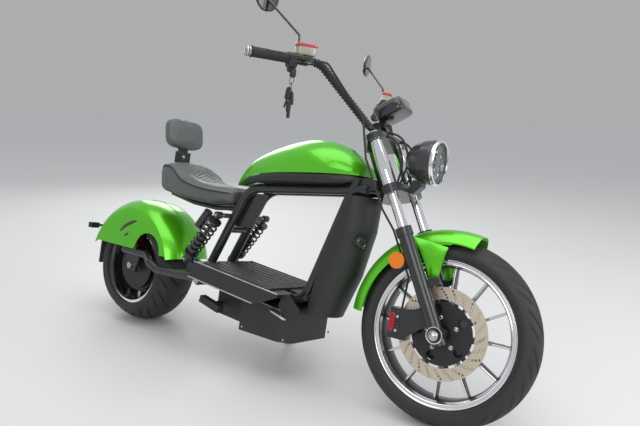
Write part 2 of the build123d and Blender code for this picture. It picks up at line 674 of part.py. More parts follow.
axle_f = TO_FORK * Rot(90, 0, 0) * Cylinder(AXLE_R_MM, 256)
for side in (-1, 1):
    axle_f = axle_f + along_y(AXLE_F[0], AXLE_F[2], 13, side * (118 + GAP), side * 128)
spacers = []
for side in (-1, 1):
    spacer = along_y(AXLE_F[0], AXLE_F[2], 13, side * 38.5, side * 71.7)
    spacers.append(spacer - along_y(AXLE_F[0], AXLE_F[2], AXLE_R_MM + GAP, side * 30, side * 80))
put_steered("front_axle", axle_f, *spacers)

# Front fender with its side stays.
front_fender = swept_fender(325, 70, 274, 3, AXLE_F, 181, 104)
nose_cut = [(63, 335), (63, 321), (-22, 268), (-22, 150), (220, 150), (220, 400)]
front_fender = front_fender - side_plate([(AXLE_F[0] + x, AXLE_F[2] + z) for x, z in nose_cut], -90, 90)
stay_shape = [(-139, 282), (-23, 262), (-28, 156), (-54, 158), (-104, 236)]
for side in (-1, 1):
    plate = side_plate([(AXLE_F[0] + x, AXLE_F[2] + z) for x, z in stay_shape], side * 67, side * 71.5)
    front_fender = front_fender + plate
put_steered("front_fender", front_fender)

# Headlight bowl, lens and bracket.
LAMP_X = FX - 119
LAMP_Z = 823.0
lamp_rows = [(-112, 0), (-106, 30), (-84, 56), (-50, 70), (-18, 75), (0, 75), (0, 67.3), (-10, 67.3), (-10, 0)]
bowl_face = make_face(Polyline(*[(x, 0, r) for x, r in lamp_rows], close=True))
bowl = Pos(LAMP_X, 0, LAMP_Z) * revolve(bowl_face, axis=Axis.X)
bowl = bowl - box(LAMP_X - 73, LAMP_X - 39, -20, 20, 700, 757.7 + GAP)
put_steered("headlight_bowl", bowl)
lens = Pos(LAMP_X - 5 + GAP / 2, 0, LAMP_Z) * Rot(0, 90, 0) * Cylinder(67, 10 - GAP)
put_steered("headlight_lens", lens)
bracket_line = [
    (FX - 208, 722), (LAMP_X - 72, 744), (LAMP_X - 72, 757.7), (LAMP_X - 40, 757.7), (LAMP_X - 40, 738), (FX - 182, 712),
]
lamp_bracket = side_plate(bracket_line, -19.7, 19.7)
lamp_bracket = lamp_bracket - fork_box(-100, 30 + GAP, -130, 130, 440, 491)
put_steered("lower_yoke", lower_yoke + lamp_bracket)

# Display on a post above the bar clamps.
DISPLAY = Pos(FX - 314, 0, 982) * Rot(0, -32, 0)
screen_box = DISPLAY * Box(98, 112, 44)
put_steered("display", fillet(screen_box.edges(), 9))
post = fork_box(BAR_N - 16, BAR_N + 16, -51, 51, 721.5, 727)
post = post + side_plate([(FX - 366, 922), (FX - 344, 930), (FX - 294, 968), (FX - 326, 984)], -16, 16)
post = post - DISPLAY * Box(98 + 2 * GAP, 112, 44 + 2 * GAP) - fork_box(-60, 60, -20, 20, 690, 722.3)
put_steered("upper_yoke", upper_yoke + post)

# Handlebar with grips, controls and mirrors.
BEND = (FX - 479, 250.0, 1071.0)
BAR_END = (FX - 609, 448.0, 1047.0)
bar_mid = fork_point(BAR_N, 78, BAR_S)
bar_points = [BAR_END, BEND, bar_mid]
bar_points += [(p[0], -p[1], p[2]) for p in reversed(bar_points)]
handlebar = tube(bar_points, BAR_R, 50)

bend_r = Vector(BEND[0], -BEND[1], BEND[2])
end_r = Vector(BAR_END[0], -BAR_END[1], BAR_END[2])
GRIP_LEN = (end_r - bend_r).length
grip_frame = Plane(origin=bend_r, x_dir=(0.1, 0, 1), z_dir=end_r - bend_r)


def on_grip(shape):
    """Place a piece given (up, ahead, along the grip) at the right hand."""
    return Location(grip_frame) * shape


def sleeve(a0, a1, radius):
    """A collar round the handlebar."""
    ring = Cylinder(radius, a1 - a0) - Cylinder(BAR_R + GAP, a1 - a0)
    return on_grip(Pos(0, 0, (a0 + a1) / 2) * ring)


def pair(shape):
    """A right-hand piece and its mirror image."""
    return [shape, mirror(shape, about=Plane.XZ)]


put_steered("grips", *pair(sleeve(GRIP_LEN - 127, GRIP_LEN - 1, 16.5)))
for cap in pair(on_grip(Pos(0, 0, GRIP_LEN + 6.6) * Cylinder(15, 14))):
    handlebar = handlebar + cap
put_steered("handlebar", handlebar)
switches = sleeve(86, 110, 20)
perch = on_grip(Pos(2, -26, 58) * Box(22, 40, 24) + Pos(24, -8, 48) * Box(26, 16, 12)) - sleeve(30, 90, 16)
perch = perch + sleeve(46, 70, 16)
perch = perch - on_grip(Pos(0, 0, 58) * Cylinder(BAR_R + GAP, 60))
reservoir = on_grip(Pos(46, -8, 48) * Box(17, 30, 44))
put_steered("reservoirs", *pair(reservoir))
lid = on_grip(Pos(57.3 + GAP, -8, 48) * Box(5, 33, 47))
put_steered("reservoir_lids", *pair(lid))
lever_path = [(2, -43, 60), (2, -60, 84), (2, -64, 205)]
perch = perch + on_grip(tube(lever_path, 5, 15))
put_steered("hand_controls", *pair(perch), *pair(switches))

mirror_rows = [(1, 366.0, 1240.0), (-1, 366.0, 1240.0)]
stems = []
heads = []
for side, across, high in mirror_rows:
    foot = on_grip(Pos(16.0, 0, 77) * Cylinder(0.1, 0.1)).center()
    stem = tube([
        (foot.X, side * abs(foot.Y), foot.Z), (foot.X - 8, side * (abs(foot.Y) + 4), foot.Z + 62),
        (BAR_END[0] - 29, side * across, high),
    ], 4, 14)
    boss = rod((foot.X, side * abs(foot.Y), foot.Z - 4), (foot.X, side * abs(foot.Y), foot.Z + 10), 5.5)
    place = Plane(origin=(BAR_END[0] - 35, side * across, high + 8), z_dir=(-0.95, -side * 0.25, 0.05))
    head = Location(place) * Cylinder(45, 12)
    stems.append(stem + boss)
    heads.append(fillet(head.edges(), 4))
collar = sleeve(71, 83, 16)
stems = [stem + ring for stem, ring in zip(stems, pair(collar)[::-1])]
bar_space = on_grip(Pos(0, 0, 77) * Cylinder(BAR_R + GAP, 40))
stems = [stem - cut for stem, cut in zip(stems, pair(bar_space)[::-1])]
put_steered("mirrors", *[stem + head for stem, head in zip(stems, heads)])

# Round side reflectors on the fork legs, the front caliper and its hose.
reflectors = []
for side in (-1, 1):
    reflectors.append(TO_FORK * Pos(-49, side * 104, 253) * Rot(90, 0, 0) * Cylinder(26, 8))
put_steered("reflectors", *reflectors)
caliper = box(FX - 168, FX - 106, -75.7, -26, 246, 342)
slot_f = along_y(AXLE_F[0], AXLE_F[2], 148, -DISC_F_Y - 4, -DISC_F_Y + 4)
caliper = caliper - slot_f
put_steered("front_caliper", caliper)
rear_caliper = box(-58, -8, -85 + GAP, -50, ZR + 62, ZR + 116) - along_y(0, ZR, 103, -68, -60)
put_root("rear_caliper", rear_caliper)

# Hose from the right-hand brake lever down the fork to the caliper.
HOSE_R = 3.5
lever_end = on_grip(Pos(2, -30, 45.7) * Cylinder(0.1, 0.1)).center()
past_bend = on_grip(Pos(2, -32, -12) * Cylinder(0.1, 0.1)).center()
hose_line = [
    tuple(lever_end),
    tuple(past_bend),
    (FX - 354, -130, 925),
    fork_point(-40, -127, 600),
    fork_point(-38, -124, 420),
    fork_point(-35, -90, 350),
    fork_point(-34, -89, 190),
    (FX - 132, -66, 400),
    (FX - 136, -64, 342 + GAP),
]
put_steered("brake_hose", tube(hose_line, HOSE_R, 22))

# Side stand with its foot flat on the floor.
hub = stand_rod(-10, 10, 16)
leg_s = rod(STAND_P, STAND_FOOT, 9)
foot_world = LEANED * Pos(*STAND_FOOT)
pad_s = LEANED.inverse() * Pos(foot_world.position.X, foot_world.position.Y, 4) * Cylinder(24, 8)
stand = hub + leg_s - (LEANED.inverse() * box(-300, 300, -300, 300, -60, 0)) + pad_s
stand = stand - stand_rod(-60, 60, STAND_BOLT_R + RUN)
put_root("side_stand", stand)
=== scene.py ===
"""Finishes, soft goods and fine pieces of a parked electric chopper scooter.

Pieces are worked out in the scooter's own upright axes, in millimetres: X forward from the
rear axle, Y to the rider's left, Z up. They are then steered and leaned into the parked pose.
"""

from __future__ import annotations

import json
import logging
import math
from dataclasses import dataclass, field
from enum import Enum
from typing import Mapping, Sequence

import bmesh
import bpy
import numpy as np
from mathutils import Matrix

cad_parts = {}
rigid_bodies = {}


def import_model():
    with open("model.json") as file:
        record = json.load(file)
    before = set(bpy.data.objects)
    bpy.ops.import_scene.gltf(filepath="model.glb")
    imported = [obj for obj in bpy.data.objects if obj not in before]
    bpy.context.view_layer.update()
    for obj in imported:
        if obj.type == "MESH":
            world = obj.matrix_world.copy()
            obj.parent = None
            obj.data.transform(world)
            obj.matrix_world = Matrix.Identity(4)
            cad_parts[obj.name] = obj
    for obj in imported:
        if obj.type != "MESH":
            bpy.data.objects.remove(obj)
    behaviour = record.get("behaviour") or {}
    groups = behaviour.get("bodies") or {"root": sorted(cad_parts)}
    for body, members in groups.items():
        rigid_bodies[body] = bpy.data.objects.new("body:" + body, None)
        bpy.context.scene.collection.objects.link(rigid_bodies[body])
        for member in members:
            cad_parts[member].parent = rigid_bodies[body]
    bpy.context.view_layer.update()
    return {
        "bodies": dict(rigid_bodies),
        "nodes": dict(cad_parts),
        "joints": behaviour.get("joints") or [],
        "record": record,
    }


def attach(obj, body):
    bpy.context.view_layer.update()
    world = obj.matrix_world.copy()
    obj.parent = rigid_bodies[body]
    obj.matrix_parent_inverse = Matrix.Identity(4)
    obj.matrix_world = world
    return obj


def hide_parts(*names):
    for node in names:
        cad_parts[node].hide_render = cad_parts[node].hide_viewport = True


LOG = logging.getLogger("scooter")
Array = np.ndarray
Point = tuple[float, float, float]
Colour = tuple[float, float, float]
Shell = tuple[Array, list[tuple[int, ...]]]


@dataclass(frozen=True)
class ParkedPose:
    """How the upright scooter stands in the parked frame, in millimetres and radians."""

    lean: float = math.radians(11.36)
    steer: float = math.radians(5.14)
    rake: float = math.radians(28.6)
    middle: tuple[float, float] = (708.06, 195.44)
    front_axle: Point = (1444.0, 0.0, 292.909)
    rear_axle: Point = (0.0, 0.0, 240.598)
    offset: float = 45.0

    def fork(self, ahead: float, across: float, up: float) -> Point:
        """A point given ahead of, across and up along the fork, in upright axes."""
        c, s = math.cos(self.rake), math.sin(self.rake)
        x, _, z = self.front_axle
        return (x + ahead * c - up * s, across, z + ahead * s + up * c)

    def steered(self, points: Array) -> Array:
        """Turn upright points about the steering stem.

        Each point is split into ahead, across and up along the fork. Ahead and across turn
        about the stem, which stands `offset` behind the fork's line, and up stays.

        Args:
            points: Points in upright axes, as rows.
        Returns:
            The turned points, as rows.
        """
        c, s = math.cos(self.rake), math.sin(self.rake)
        forward, upward = np.array([c, 0.0, s]), np.array([-s, 0.0, c])
        rel = points - np.array(self.front_axle)
        ahead, across, up = rel @ forward + self.offset, rel[:, 1], rel @ upward
        ct, st = math.cos(self.steer), math.sin(self.steer)
        turned_ahead = ct * ahead - st * across - self.offset
        turned_across = st * ahead + ct * across
        turned = np.outer(turned_ahead, forward) + np.outer(up, upward)
        turned[:, 1] += turned_across
        return turned + np.array(self.front_axle)

    def leaned(self, points: Array) -> Array:
        """Lean upright points onto the stand, centre them and give them in metres.

        Args:
            points: Points in upright axes, as rows.
        Returns:
            Points in the parked frame, in metres, as rows.
        """
        c, s = math.cos(self.lean), math.sin(self.lean)
        x = points[:, 0] - self.middle[0]
        y = c * points[:, 1] + s * points[:, 2] - self.middle[1]
        z = -s * points[:, 1] + c * points[:, 2]
        return np.stack([x, y, z], axis=1) / 1000.0


POSE = ParkedPose()


class Carrier(Enum):
    """The body that a piece rides on."""

    FRAME = "frame_body"
    STEERING = "steering"
    FRONT_WHEEL = "front_wheel"
    REAR_WHEEL = "rear_wheel"

    def park(self, points: Array) -> Array:
        """Upright points in the parked frame, steered first where this body is steered."""
        flat = np.asarray(points, dtype=float).reshape(-1, 3)
        if self in (Carrier.STEERING, Carrier.FRONT_WHEEL):
            flat = POSE.steered(flat)
        return POSE.leaned(flat)


class Grain(Enum):
    """The fine relief of a surface."""

    PEEL = "orange peel of paint"
    LEATHER = "pebbled leather"
    BRUSHED = "fine lines of brushing"
    MOULDED = "moulded plastic"
    CAST = "cast or forged metal"


# ---------- shapes


def unit(vector: Array) -> Array:
    """The vector at length one, along its last axis."""
    return vector / np.maximum(np.linalg.norm(vector, axis=-1, keepdims=True), 1e-9)


def grid_faces(rows: int, steps: int, close_rows: bool, close_steps: bool) -> Array:
    """Quads of a grid of rows by steps, each direction open or closed on itself."""
    i = np.arange(rows if close_rows else rows - 1)
    j = np.arange(steps if close_steps else steps - 1)
    a, b = np.meshgrid(i, j, indexing="ij")
    up, on = (a + 1) % rows, (b + 1) % steps
    corners = [a * steps + b, up * steps + b, up * steps + on, a * steps + on]
    return np.stack(corners, axis=-1).reshape(-1, 4)


def skinned(rings: Array) -> Shell:
    """Skin a stack of closed rings and close each end on its middle point.

    Args:
        rings: Points [ring, step, xyz].
    Returns:
        The points and faces of one closed shell.
    """
    count, steps, _ = rings.shape
    faces = [tuple(f) for f in grid_faces(count, steps, False, True).tolist()]
    points = np.concatenate([rings.reshape(-1, 3), rings[:1].mean(axis=1), rings[-1:].mean(axis=1)])
    first, last = count * steps, count * steps + 1
    base = (count - 1) * steps
    for j in range(steps):
        k = (j + 1) % steps
        faces.append((first, k, j))
        faces.append((last, base + j, base + k))
    return points, faces


def looped(rings: Array) -> Shell:
    """Skin rings that close on themselves both ways, such as a tyre."""
    count, steps, _ = rings.shape
    return rings.reshape(-1, 3), [tuple(f) for f in grid_faces(count, steps, True, True).tolist()]


def carried(path: Array, outline: Array, up: Point = (0.0, 0.0, 1.0)) -> Array:
    """Carry a closed outline along a path.

    Ring i is path[i] + outline_x * side[i] + outline_y * top[i], where side is up crossed
    with the path's direction and top is the direction crossed with side.

    Args:
        path: Points of the path, as rows.
        outline: Outline points, [step, 2], or one outline a path point, [row, step, 2].
        up: A direction that the path never follows.
    Returns:
        Rings [row, step, xyz].
    """
    path = np.asarray(path, dtype=float)
    along = unit(np.gradient(path, axis=0))
    side = unit(np.cross(np.array(up), along))
    top = np.cross(along, side)
    shape = outline if outline.ndim == 3 else np.broadcast_to(outline, (len(path), *outline.shape))
    return path[:, None] + shape[..., :1] * side[:, None] + shape[..., 1:] * top[:, None]


def full_turn(steps: int) -> Array:
    """Angles spread evenly over one whole turn."""
    return np.linspace(0, 2 * math.pi, steps, endpoint=False)


def circle(radius: float, steps: int) -> Array:
    """A round outline."""
    turn = full_turn(steps)
    return np.stack([np.cos(turn), np.sin(turn)], axis=1) * radius


def tapered(half: tuple[float, float], steps: int, rows: int, power: int, least: float) -> Array:
    """Oval outlines along a path, closing in toward both of its ends.

    Their size is the root of 1 - |t|^power for t from -1 to 1, and never under that of `least`.
    """
    size = np.sqrt(np.clip(1 - np.abs(np.linspace(-1, 1, rows)) ** power, least, 1))
    return circle(1.0, steps)[None] * (size[:, None] * np.array([half]))[:, None]


def curve(start: Array, bend: Array, end: Array, steps: int) -> Array:
    """A quadratic curve that leaves its start toward the bend and reaches its end."""
    t = np.linspace(0, 1, steps)[:, None]
    return (1 - t) ** 2 * start + 2 * t * (1 - t) * bend + t ** 2 * end


def rounded(points: Sequence[Point], bend: float, steps: int = 8) -> Array:
    """A path of straight runs whose corners are rounded by quadratic curves.

    Args:
        points: Corners of the path.
        bend: How far from each corner its curve starts.
        steps: Points in each curve.
    Returns:
        Points of the path, as rows.
    """
    corners = np.array(points, dtype=float)
    out = [corners[:1]]
    for before, at, after in zip(corners[:-2], corners[1:-1], corners[2:]):
        reach = min(bend, np.linalg.norm(at - before) * 0.45, np.linalg.norm(after - at) * 0.45)
        out.append(curve(at + unit(before - at) * reach, at, at + unit(after - at) * reach, steps))
    out.append(corners[-1:])
    return np.concatenate(out)


def travelled(path: Array) -> Array:
    """How far along the path each of its points lies."""
    return np.concatenate([[0], np.cumsum(np.linalg.norm(np.diff(path, axis=0), axis=1))])


def evened(path: Array, count: int) -> Array:
    """The same path with its points spread evenly along its length."""
    steps = travelled(path)
    wanted = np.linspace(0, steps[-1], count)
    return np.stack([np.interp(wanted, steps, path[:, k]) for k in range(3)], axis=1)


def about(axis: Point, steps: int) -> tuple[Array, Array]:
    """An axis's unit direction, and unit directions spread evenly round it."""
    line = unit(np.array(axis, dtype=float))
    helper = np.array([0.0, 0.0, 1.0]) if abs(line[2]) < 0.9 else np.array([1.0, 0.0, 0.0])
    u = unit(np.cross(helper, line))
    v = np.cross(line, u)
    turn = full_turn(steps)
    return line, np.cos(turn)[:, None] * u + np.sin(turn)[:, None] * v


def turned(profile: Sequence[tuple[float, float]], centre: Point, axis: Point, steps: int) -> Shell:
    """Turn a profile about an axis: centre + axis * height + radius * (cos, sin) across it.

    Args:
        profile: (radius, height) from one end to the other; a zero radius closes an end.
        centre: Where height zero lies.
        axis: The axis's direction.
        steps: Points round each ring.
    Returns:
        A closed shell.
    """
    line, rim = about(axis, steps)
    rows = np.array(profile, dtype=float)
    rings = np.array(centre) + rows[:, None, 1:] * line + rows[:, None, :1] * rim[None]
    return skinned(rings)


def ring_round(
    profile: Sequence[tuple[float, float]] | Array, centre: Point, axis: Point, steps: int
) -> Shell:
    """Turn a closed profile of (radius, height) into a ring about an axis."""
    line, rim = about(axis, steps)
    rows = np.array(profile, dtype=float)
    rings = np.array(centre) + rows[None, :, 1:] * line + rows[None, :, :1] * rim[:, None]
    return looped(rings)


def soft_block(
    centre: Point, half: Point, power: float = 0.25, steps: int = 24, tilt: float = 0.0
) -> Shell:
    """A block with rounded edges, as a superellipsoid.

    A point is half * (cu^p * cv^p, su^p * cv^p, sv^p), with signs kept, for angles u and v.

    Args:
        centre: Its middle.
        half: Half its length along each axis.
        power: Near 0 for a sharp block and 1 for an ellipsoid.
        steps: Points round it.
        tilt: Turn about the Y axis in degrees, nose down for a positive value.
    Returns:
        A closed shell.
    """

    def bent(value: Array) -> Array:
        return np.sign(value) * np.abs(value) ** power

    u = full_turn(steps) + math.pi / steps
    v = np.linspace(-math.pi / 2 * 0.97, math.pi / 2 * 0.97, max(8, steps // 2))
    cu, su, cv, sv = bent(np.cos(u)), bent(np.sin(u)), bent(np.cos(v)), bent(np.sin(v))
    x = cv[:, None] * cu[None] * half[0]
    y = cv[:, None] * su[None] * half[1]
    z = np.broadcast_to(sv[:, None] * half[2], x.shape)
    c, s = math.cos(math.radians(tilt)), math.sin(math.radians(tilt))
    rings = np.stack([x * c + z * s, y, -x * s + z * c], axis=-1) + np.array(centre)
    return skinned(rings)


def joined(shells: Sequence[Shell]) -> Shell:
    """Several shells as one set of points and faces."""
    points: list[Array] = []
    faces: list[tuple[int, ...]] = []
    start = 0
    for shell_points, shell_faces in shells:
        points.append(shell_points)
        faces += [tuple(k + start for k in face) for face in shell_faces]
        start += len(shell_points)
    return np.concatenate(points), faces


def both_sides(shell: Shell) -> Shell:
    """The shell with its image on the scooter's other side."""
    points, faces = shell
    return joined([shell, (points * np.array([1.0, -1.0, 1.0]), faces)])


def bolt_heads(places: Sequence[Point], axis: Point, radius: float, high: float) -> Shell:
    """Bolt heads with a flange and a hollow in the top, at each place."""
    shares = ((1.25, 0.0), (1.25, 0.25), (1, 0.3), (1, 0.75), (0.75, 1), (0.4, 1), (0.35, 0.6))
    profile = [(radius * out, high * up) for out, up in shares]
    return joined([turned(profile, place, axis, 12) for place in places])


# ---------- shader boards


class Value:
    """A shader socket that takes part in Python arithmetic by adding Math nodes."""

    def __init__(self, board: Board, socket: bpy.types.NodeSocket) -> None:
        """Wrap a socket of the board's tree."""
        self.board = board
        self.socket = socket

    def __add__(self, other: Value | float) -> Value:
        """The sum."""
        return self.board.maths("ADD", self, other)

    def __radd__(self, other: float) -> Value:
        """The sum with a number in front."""
        return self.board.maths("ADD", other, self)

    def __sub__(self, other: Value | float) -> Value:
        """The difference."""
        return self.board.maths("SUBTRACT", self, other)

    def __rsub__(self, other: float) -> Value:
        """A number less this value."""
        return self.board.maths("SUBTRACT", other, self)

    def __mul__(self, other: Value | float) -> Value:
        """The product."""
        return self.board.maths("MULTIPLY", self, other)

    def __rmul__(self, other: float) -> Value:
        """The product with a number in front."""
        return self.board.maths("MULTIPLY", other, self)

    def __gt__(self, other: Value | float) -> Value:
        """One where this value is greater."""
        return self.board.maths("GREATER_THAN", self, other)

    def __lt__(self, other: Value | float) -> Value:
        """One where this value is less."""
        return self.board.maths("LESS_THAN", self, other)

    def __abs__(self) -> Value:
        """The size without its sign."""
        return self.board.maths("ABSOLUTE", self)

    def between(self, low: float, high: float) -> Value:
        """Nought at low, one at high, and smooth between."""
        smooth = {"interpolation_type": "SMOOTHSTEP"}
        ends = {"Value": self, "From Min": low, "From Max": high}
        return self.board.value("Result", "ShaderNodeMapRange", smooth, ends)


class Board:
    """The node tree of one material, or of the room."""

    def __init__(self, name: str, world: bool = False) -> None:
        """Start an empty material, or an empty world."""
        self.owner = (bpy.data.worlds if world else bpy.data.materials).new(name)
        self.owner.use_nodes = True
        self.tree = self.owner.node_tree
        self.tree.nodes.clear()

    def node(
        self,
        kind: str,
        settings: Mapping[str, object] | None = None,
        inputs: Mapping[str | int, object] | None = None,
    ) -> bpy.types.Node:
        """Add a node.

        Args:
            kind: The node's type.
            settings: Its settings, with a ramp's stops as (place, colour) under "stops".
            inputs: Values or links of its sockets, by name or number.
        Returns:
            The node.
        """
        made = self.tree.nodes.new(kind)
        for key, value in (settings or {}).items():
            if key == "stops":
                ramp = made.color_ramp
                for place, colour in value[2:]:
                    ramp.elements.new(place).color = (*colour, 1.0)
                ends = (ramp.elements[0], ramp.elements[-1])
                for element, (place, colour) in zip(ends, value[:2]):
                    element.position, element.color = place, (*colour, 1.0)
            else:
                setattr(made, key, value)
        for key, value in (inputs or {}).items():
            if isinstance(value, Value):
                self.tree.links.new(value.socket, made.inputs[key])
            elif isinstance(value, tuple) and len(value) == 3 and made.inputs[key].type == "RGBA":
                made.inputs[key].default_value = (*value, 1.0)
            else:
                made.inputs[key].default_value = value
        return made

    def value(
        self,
        output: str | int,
        kind: str,
        settings: Mapping[str, object] | None = None,
        inputs: Mapping[str | int, object] | None = None,
    ) -> Value:
        """Add a node and give one of its outputs."""
        return Value(self, self.node(kind, settings, inputs).outputs[output])

    def maths(self, operation: str, *terms: Value | float) -> Value:
        """A Math node over values and numbers."""
        return self.value(0, "ShaderNodeMath", {"operation": operation}, dict(enumerate(terms)))

    def place(self) -> Value:
        """The point on the object, in the parked frame."""
        return self.value("Object", "ShaderNodeTexCoord")

    def vector(self, operation: str, output: str, *terms: Value | Point) -> Value:
        """A Vector Math node."""
        settings = {"operation": operation}
        return self.value(output, "ShaderNodeVectorMath", settings, dict(enumerate(terms)))

    def stretched(self, place: Value, scale: Point) -> Value:
        """The point scaled, for a pattern with a direction."""
        return self.value(0, "ShaderNodeMapping", None, {"Vector": place, "Scale": scale})

    def noise(self, place: Value, scale: float, detail: float = 2.0) -> Value:
        """Soft noise from nought to one."""
        inputs = {"Vector": place, "Scale": scale, "Detail": detail, "Roughness": 0.55}
        return self.value(0, "ShaderNodeTexNoise", None, inputs)

    def cells(self, place: Value, scale: float, output: str = "Distance") -> Value:
        """A pattern of cells: the distance to each one's middle, or its random colour."""
        return self.value(output, "ShaderNodeTexVoronoi", None, {"Vector": place, "Scale": scale})

    def cell_tone(self, place: Value, scale: float) -> Value:
        """One even random tone to each cell."""
        colour = self.cells(place, scale, "Color")
        return self.value(0, "ShaderNodeSeparateColor", None, {0: colour})

    def blended(self, factor: Value | float, low: Value | Colour, high: Value | Colour) -> Value:
        """A colour between two."""
        return self.value(2, "ShaderNodeMix", {"data_type": "RGBA"}, {0: factor, 6: low, 7: high})

    def axle_place(self, place: Value, centre: Point, axis: Point) -> tuple[Value, Value]:
        """How far a point lies from an axle and along it, in metres."""
        rel = self.vector("SUBTRACT", "Vector", place, centre)
        along = self.vector("DOT_PRODUCT", "Value", rel, axis)
        length = self.vector("LENGTH", "Value", rel)
        squared = self.maths("MAXIMUM", length * length - along * along, 0.0)
        return self.maths("SQRT", squared), along

    def surface(
        self,
        colour: Value | Colour,
        rough: Value | float,
        metal: Value | float = 0.0,
        coat: Value | float = 0.0,
        height: Value | None = None,
        depth: float = 0.0005,
        alpha: float = 1.0,
        **plain: float,
    ) -> bpy.types.Material:
        """Close the board with a principled shader.

        Args:
            colour: Base colour.
            rough: Roughness.
            metal: Metallic share.
            coat: Clear coat.
            height: Relief from nought to one.
            depth: Depth of the relief in metres.
            alpha: Opacity.
            plain: Other sockets that are the same all over, by name with _ for spaces.
        Returns:
            The finished material.
        """
        inputs: dict[str | int, object] = {"Base Color": colour, "Roughness": rough}
        inputs |= {"Metallic": metal, "Coat Weight": coat, "Alpha": alpha}
        inputs |= {key.replace("_", " "): value for key, value in plain.items()}
        if height is not None:
            bump = {"Strength": 1.0, "Distance": depth, "Height": height}
            inputs["Normal"] = self.value(0, "ShaderNodeBump", None, bump)
        shader = self.value(0, "ShaderNodeBsdfPrincipled", None, inputs)
        self.node("ShaderNodeOutputMaterial", None, {"Surface": shader})
        return self.owner


# ---------- finishes


@dataclass(frozen=True)
class Finish:
    """What a surface is made of: two near tones, gloss, metal, lacquer and fine relief."""

    name: str
    colour: Colour
    shade: Colour
    rough: float = 0.5
    swing: float = 0.1
    metal: float = 0.0
    coat: float = 0.0
    grain: Grain = Grain.MOULDED
    scale: float = 500.0
    depth: float = 0.00015

    def relief(self, board: Board, place: Value) -> Value:
        """The fine relief of this finish, from nought to one."""
        if self.grain is Grain.LEATHER:
            wrinkle = board.noise(place, self.scale * 0.18, 4.0)
            return board.cells(place, self.scale) * 0.9 + wrinkle * 0.6
        if self.grain is Grain.BRUSHED:
            lines = board.stretched(place, (1.0, 1.0, 30.0))
            return board.noise(lines, self.scale * 0.3, 3.0)
        if self.grain is Grain.CAST:
            cast = board.noise(place, self.scale * 0.5, 4.0)
            return cast * 0.7 + board.cells(place, self.scale) * 0.3
        if self.grain is Grain.PEEL:
            return board.noise(place, self.scale * 0.4, 1.0)
        mould = board.cells(place, self.scale) * 0.6
        return mould + board.noise(place, self.scale * 0.7, 2.0) * 0.4

    def tone(self, board: Board, place: Value) -> Value:
        """The base colour: the two tones mixed by broad noise and faint specks."""
        broad = board.noise(place, 11.0, 3.0)
        specks = board.noise(place, self.scale * 0.4, 2.0)
        return board.blended(broad * 0.75 + specks * 0.25, self.colour, self.shade)

    def material(self) -> bpy.types.Material:
        """Build the finish as a material."""
        board = Board(self.name)
        place = board.place()
        wipe = board.noise(place, 17.0, 4.0) - 0.5
        rough = wipe * self.swing * 2.0 + self.rough
        tone, relief = self.tone(board, place), self.relief(board, place)
        return board.surface(tone, rough, self.metal, self.coat, relief, self.depth)


@dataclass(frozen=True)
class MetallicPaint(Finish):
    """Bright metallic paint: three near tones in flakes and slow drifts, under lacquer."""

    deep: Colour = (0.04, 0.30, 0.001)

    def tone(self, board: Board, place: Value) -> Value:
        """Flakes of two tones, with deeper ones where a slow drift of the paint thins out."""
        flake = board.cell_tone(place, self.scale)
        mixed = flake * 0.45 + board.noise(place, 6.0, 2.0) * 0.5
        base = board.blended(mixed, self.colour, self.shade)
        drift = board.noise(place, 3.0, 1.0).between(0.35, 0.75)
        return board.blended(drift * 0.35 + flake * 0.2, base, self.deep)


@dataclass(frozen=True)
class WheelFinish(Finish):
    """Black enamel on a wheel whose rim's edge, between two radii, is bare and polished."""

    centre: Point = (0.0, 0.0, 0.0)
    axis: Point = (0.0, 1.0, 0.0)
    bright_from: float = 0.21
    bright_to: float = 0.235
    side_from: float = 0.0
    bright: Colour = (0.86, 0.86, 0.87)

    def material(self) -> bpy.types.Material:
        """Black enamel with a polished band, scuffed along its edge."""
        board = Board(self.name)
        place = board.place()
        radius, along = board.axle_place(place, self.centre, self.axis)
        band = (radius > self.bright_from) * (radius < self.bright_to)
        inside = band * (abs(along) > self.side_from)
        scuff = board.noise(place, 90.0, 4.0)
        tone = board.blended(inside, self.tone(board, place), self.bright)
        rough = (scuff * 0.1 + 0.10) * inside + (1.0 - inside) * (scuff * 0.14 + self.rough)
        return board.surface(tone, rough, inside, 0.0, self.relief(board, place), self.depth)


@dataclass(frozen=True)
class DiscFinish(Finish):
    """A brake disc: a swept steel ring with circular grinding, on a black carrier."""

    centre: Point = (0.0, 0.0, 0.0)
    axis: Point = (0.0, 1.0, 0.0)
    ring_from: float = 0.1045

    def material(self) -> bpy.types.Material:
        """Warm ground steel outside the ring's inner edge, black inside."""
        board = Board(self.name)
        place = board.place()
        radius, _ = board.axle_place(place, self.centre, self.axis)
        ring = radius > self.ring_from
        tracks = board.maths("SINE", radius * 5200.0) * 0.5 + 0.5
        blue = board.noise(place, 14.0, 3.0)
        steel = board.blended(blue * 0.6 + tracks * 0.2, self.colour, self.shade)
        tone = board.blended(ring, (0.012, 0.012, 0.013), steel)
        rough = ring * (blue * 0.14 + self.rough) + (1.0 - ring) * 0.42
        relief = tracks * ring + self.relief(board, place) * 0.3
        return board.surface(tone, rough, ring * 0.95, 0.0, relief, 0.00006)


@dataclass(frozen=True)
class SplitFinish(Finish):
    """A piece whose middle, within a distance of a plane, is another colour than its ends."""

    centre: Point = (0.0, 0.0, 0.0)
    axis: Point = (0.0, 1.0, 0.0)
    middle: float = 0.03
    other: Colour = (0.01, 0.01, 0.011)

    def material(self) -> bpy.types.Material:
        """The finish in the middle, and the other colour without lacquer at the ends."""
        board = Board(self.name)
        place = board.place()
        _, along = board.axle_place(place, self.centre, self.axis)
        ends = abs(along) > self.middle
        tone = board.blended(ends, self.tone(board, place), self.other)
        rough = board.noise(place, 60.0, 3.0) * self.swing + self.rough
        coat, relief = self.coat * (1.0 - ends), self.relief(board, place)
        return board.surface(tone, rough, self.metal, coat, relief, self.depth)


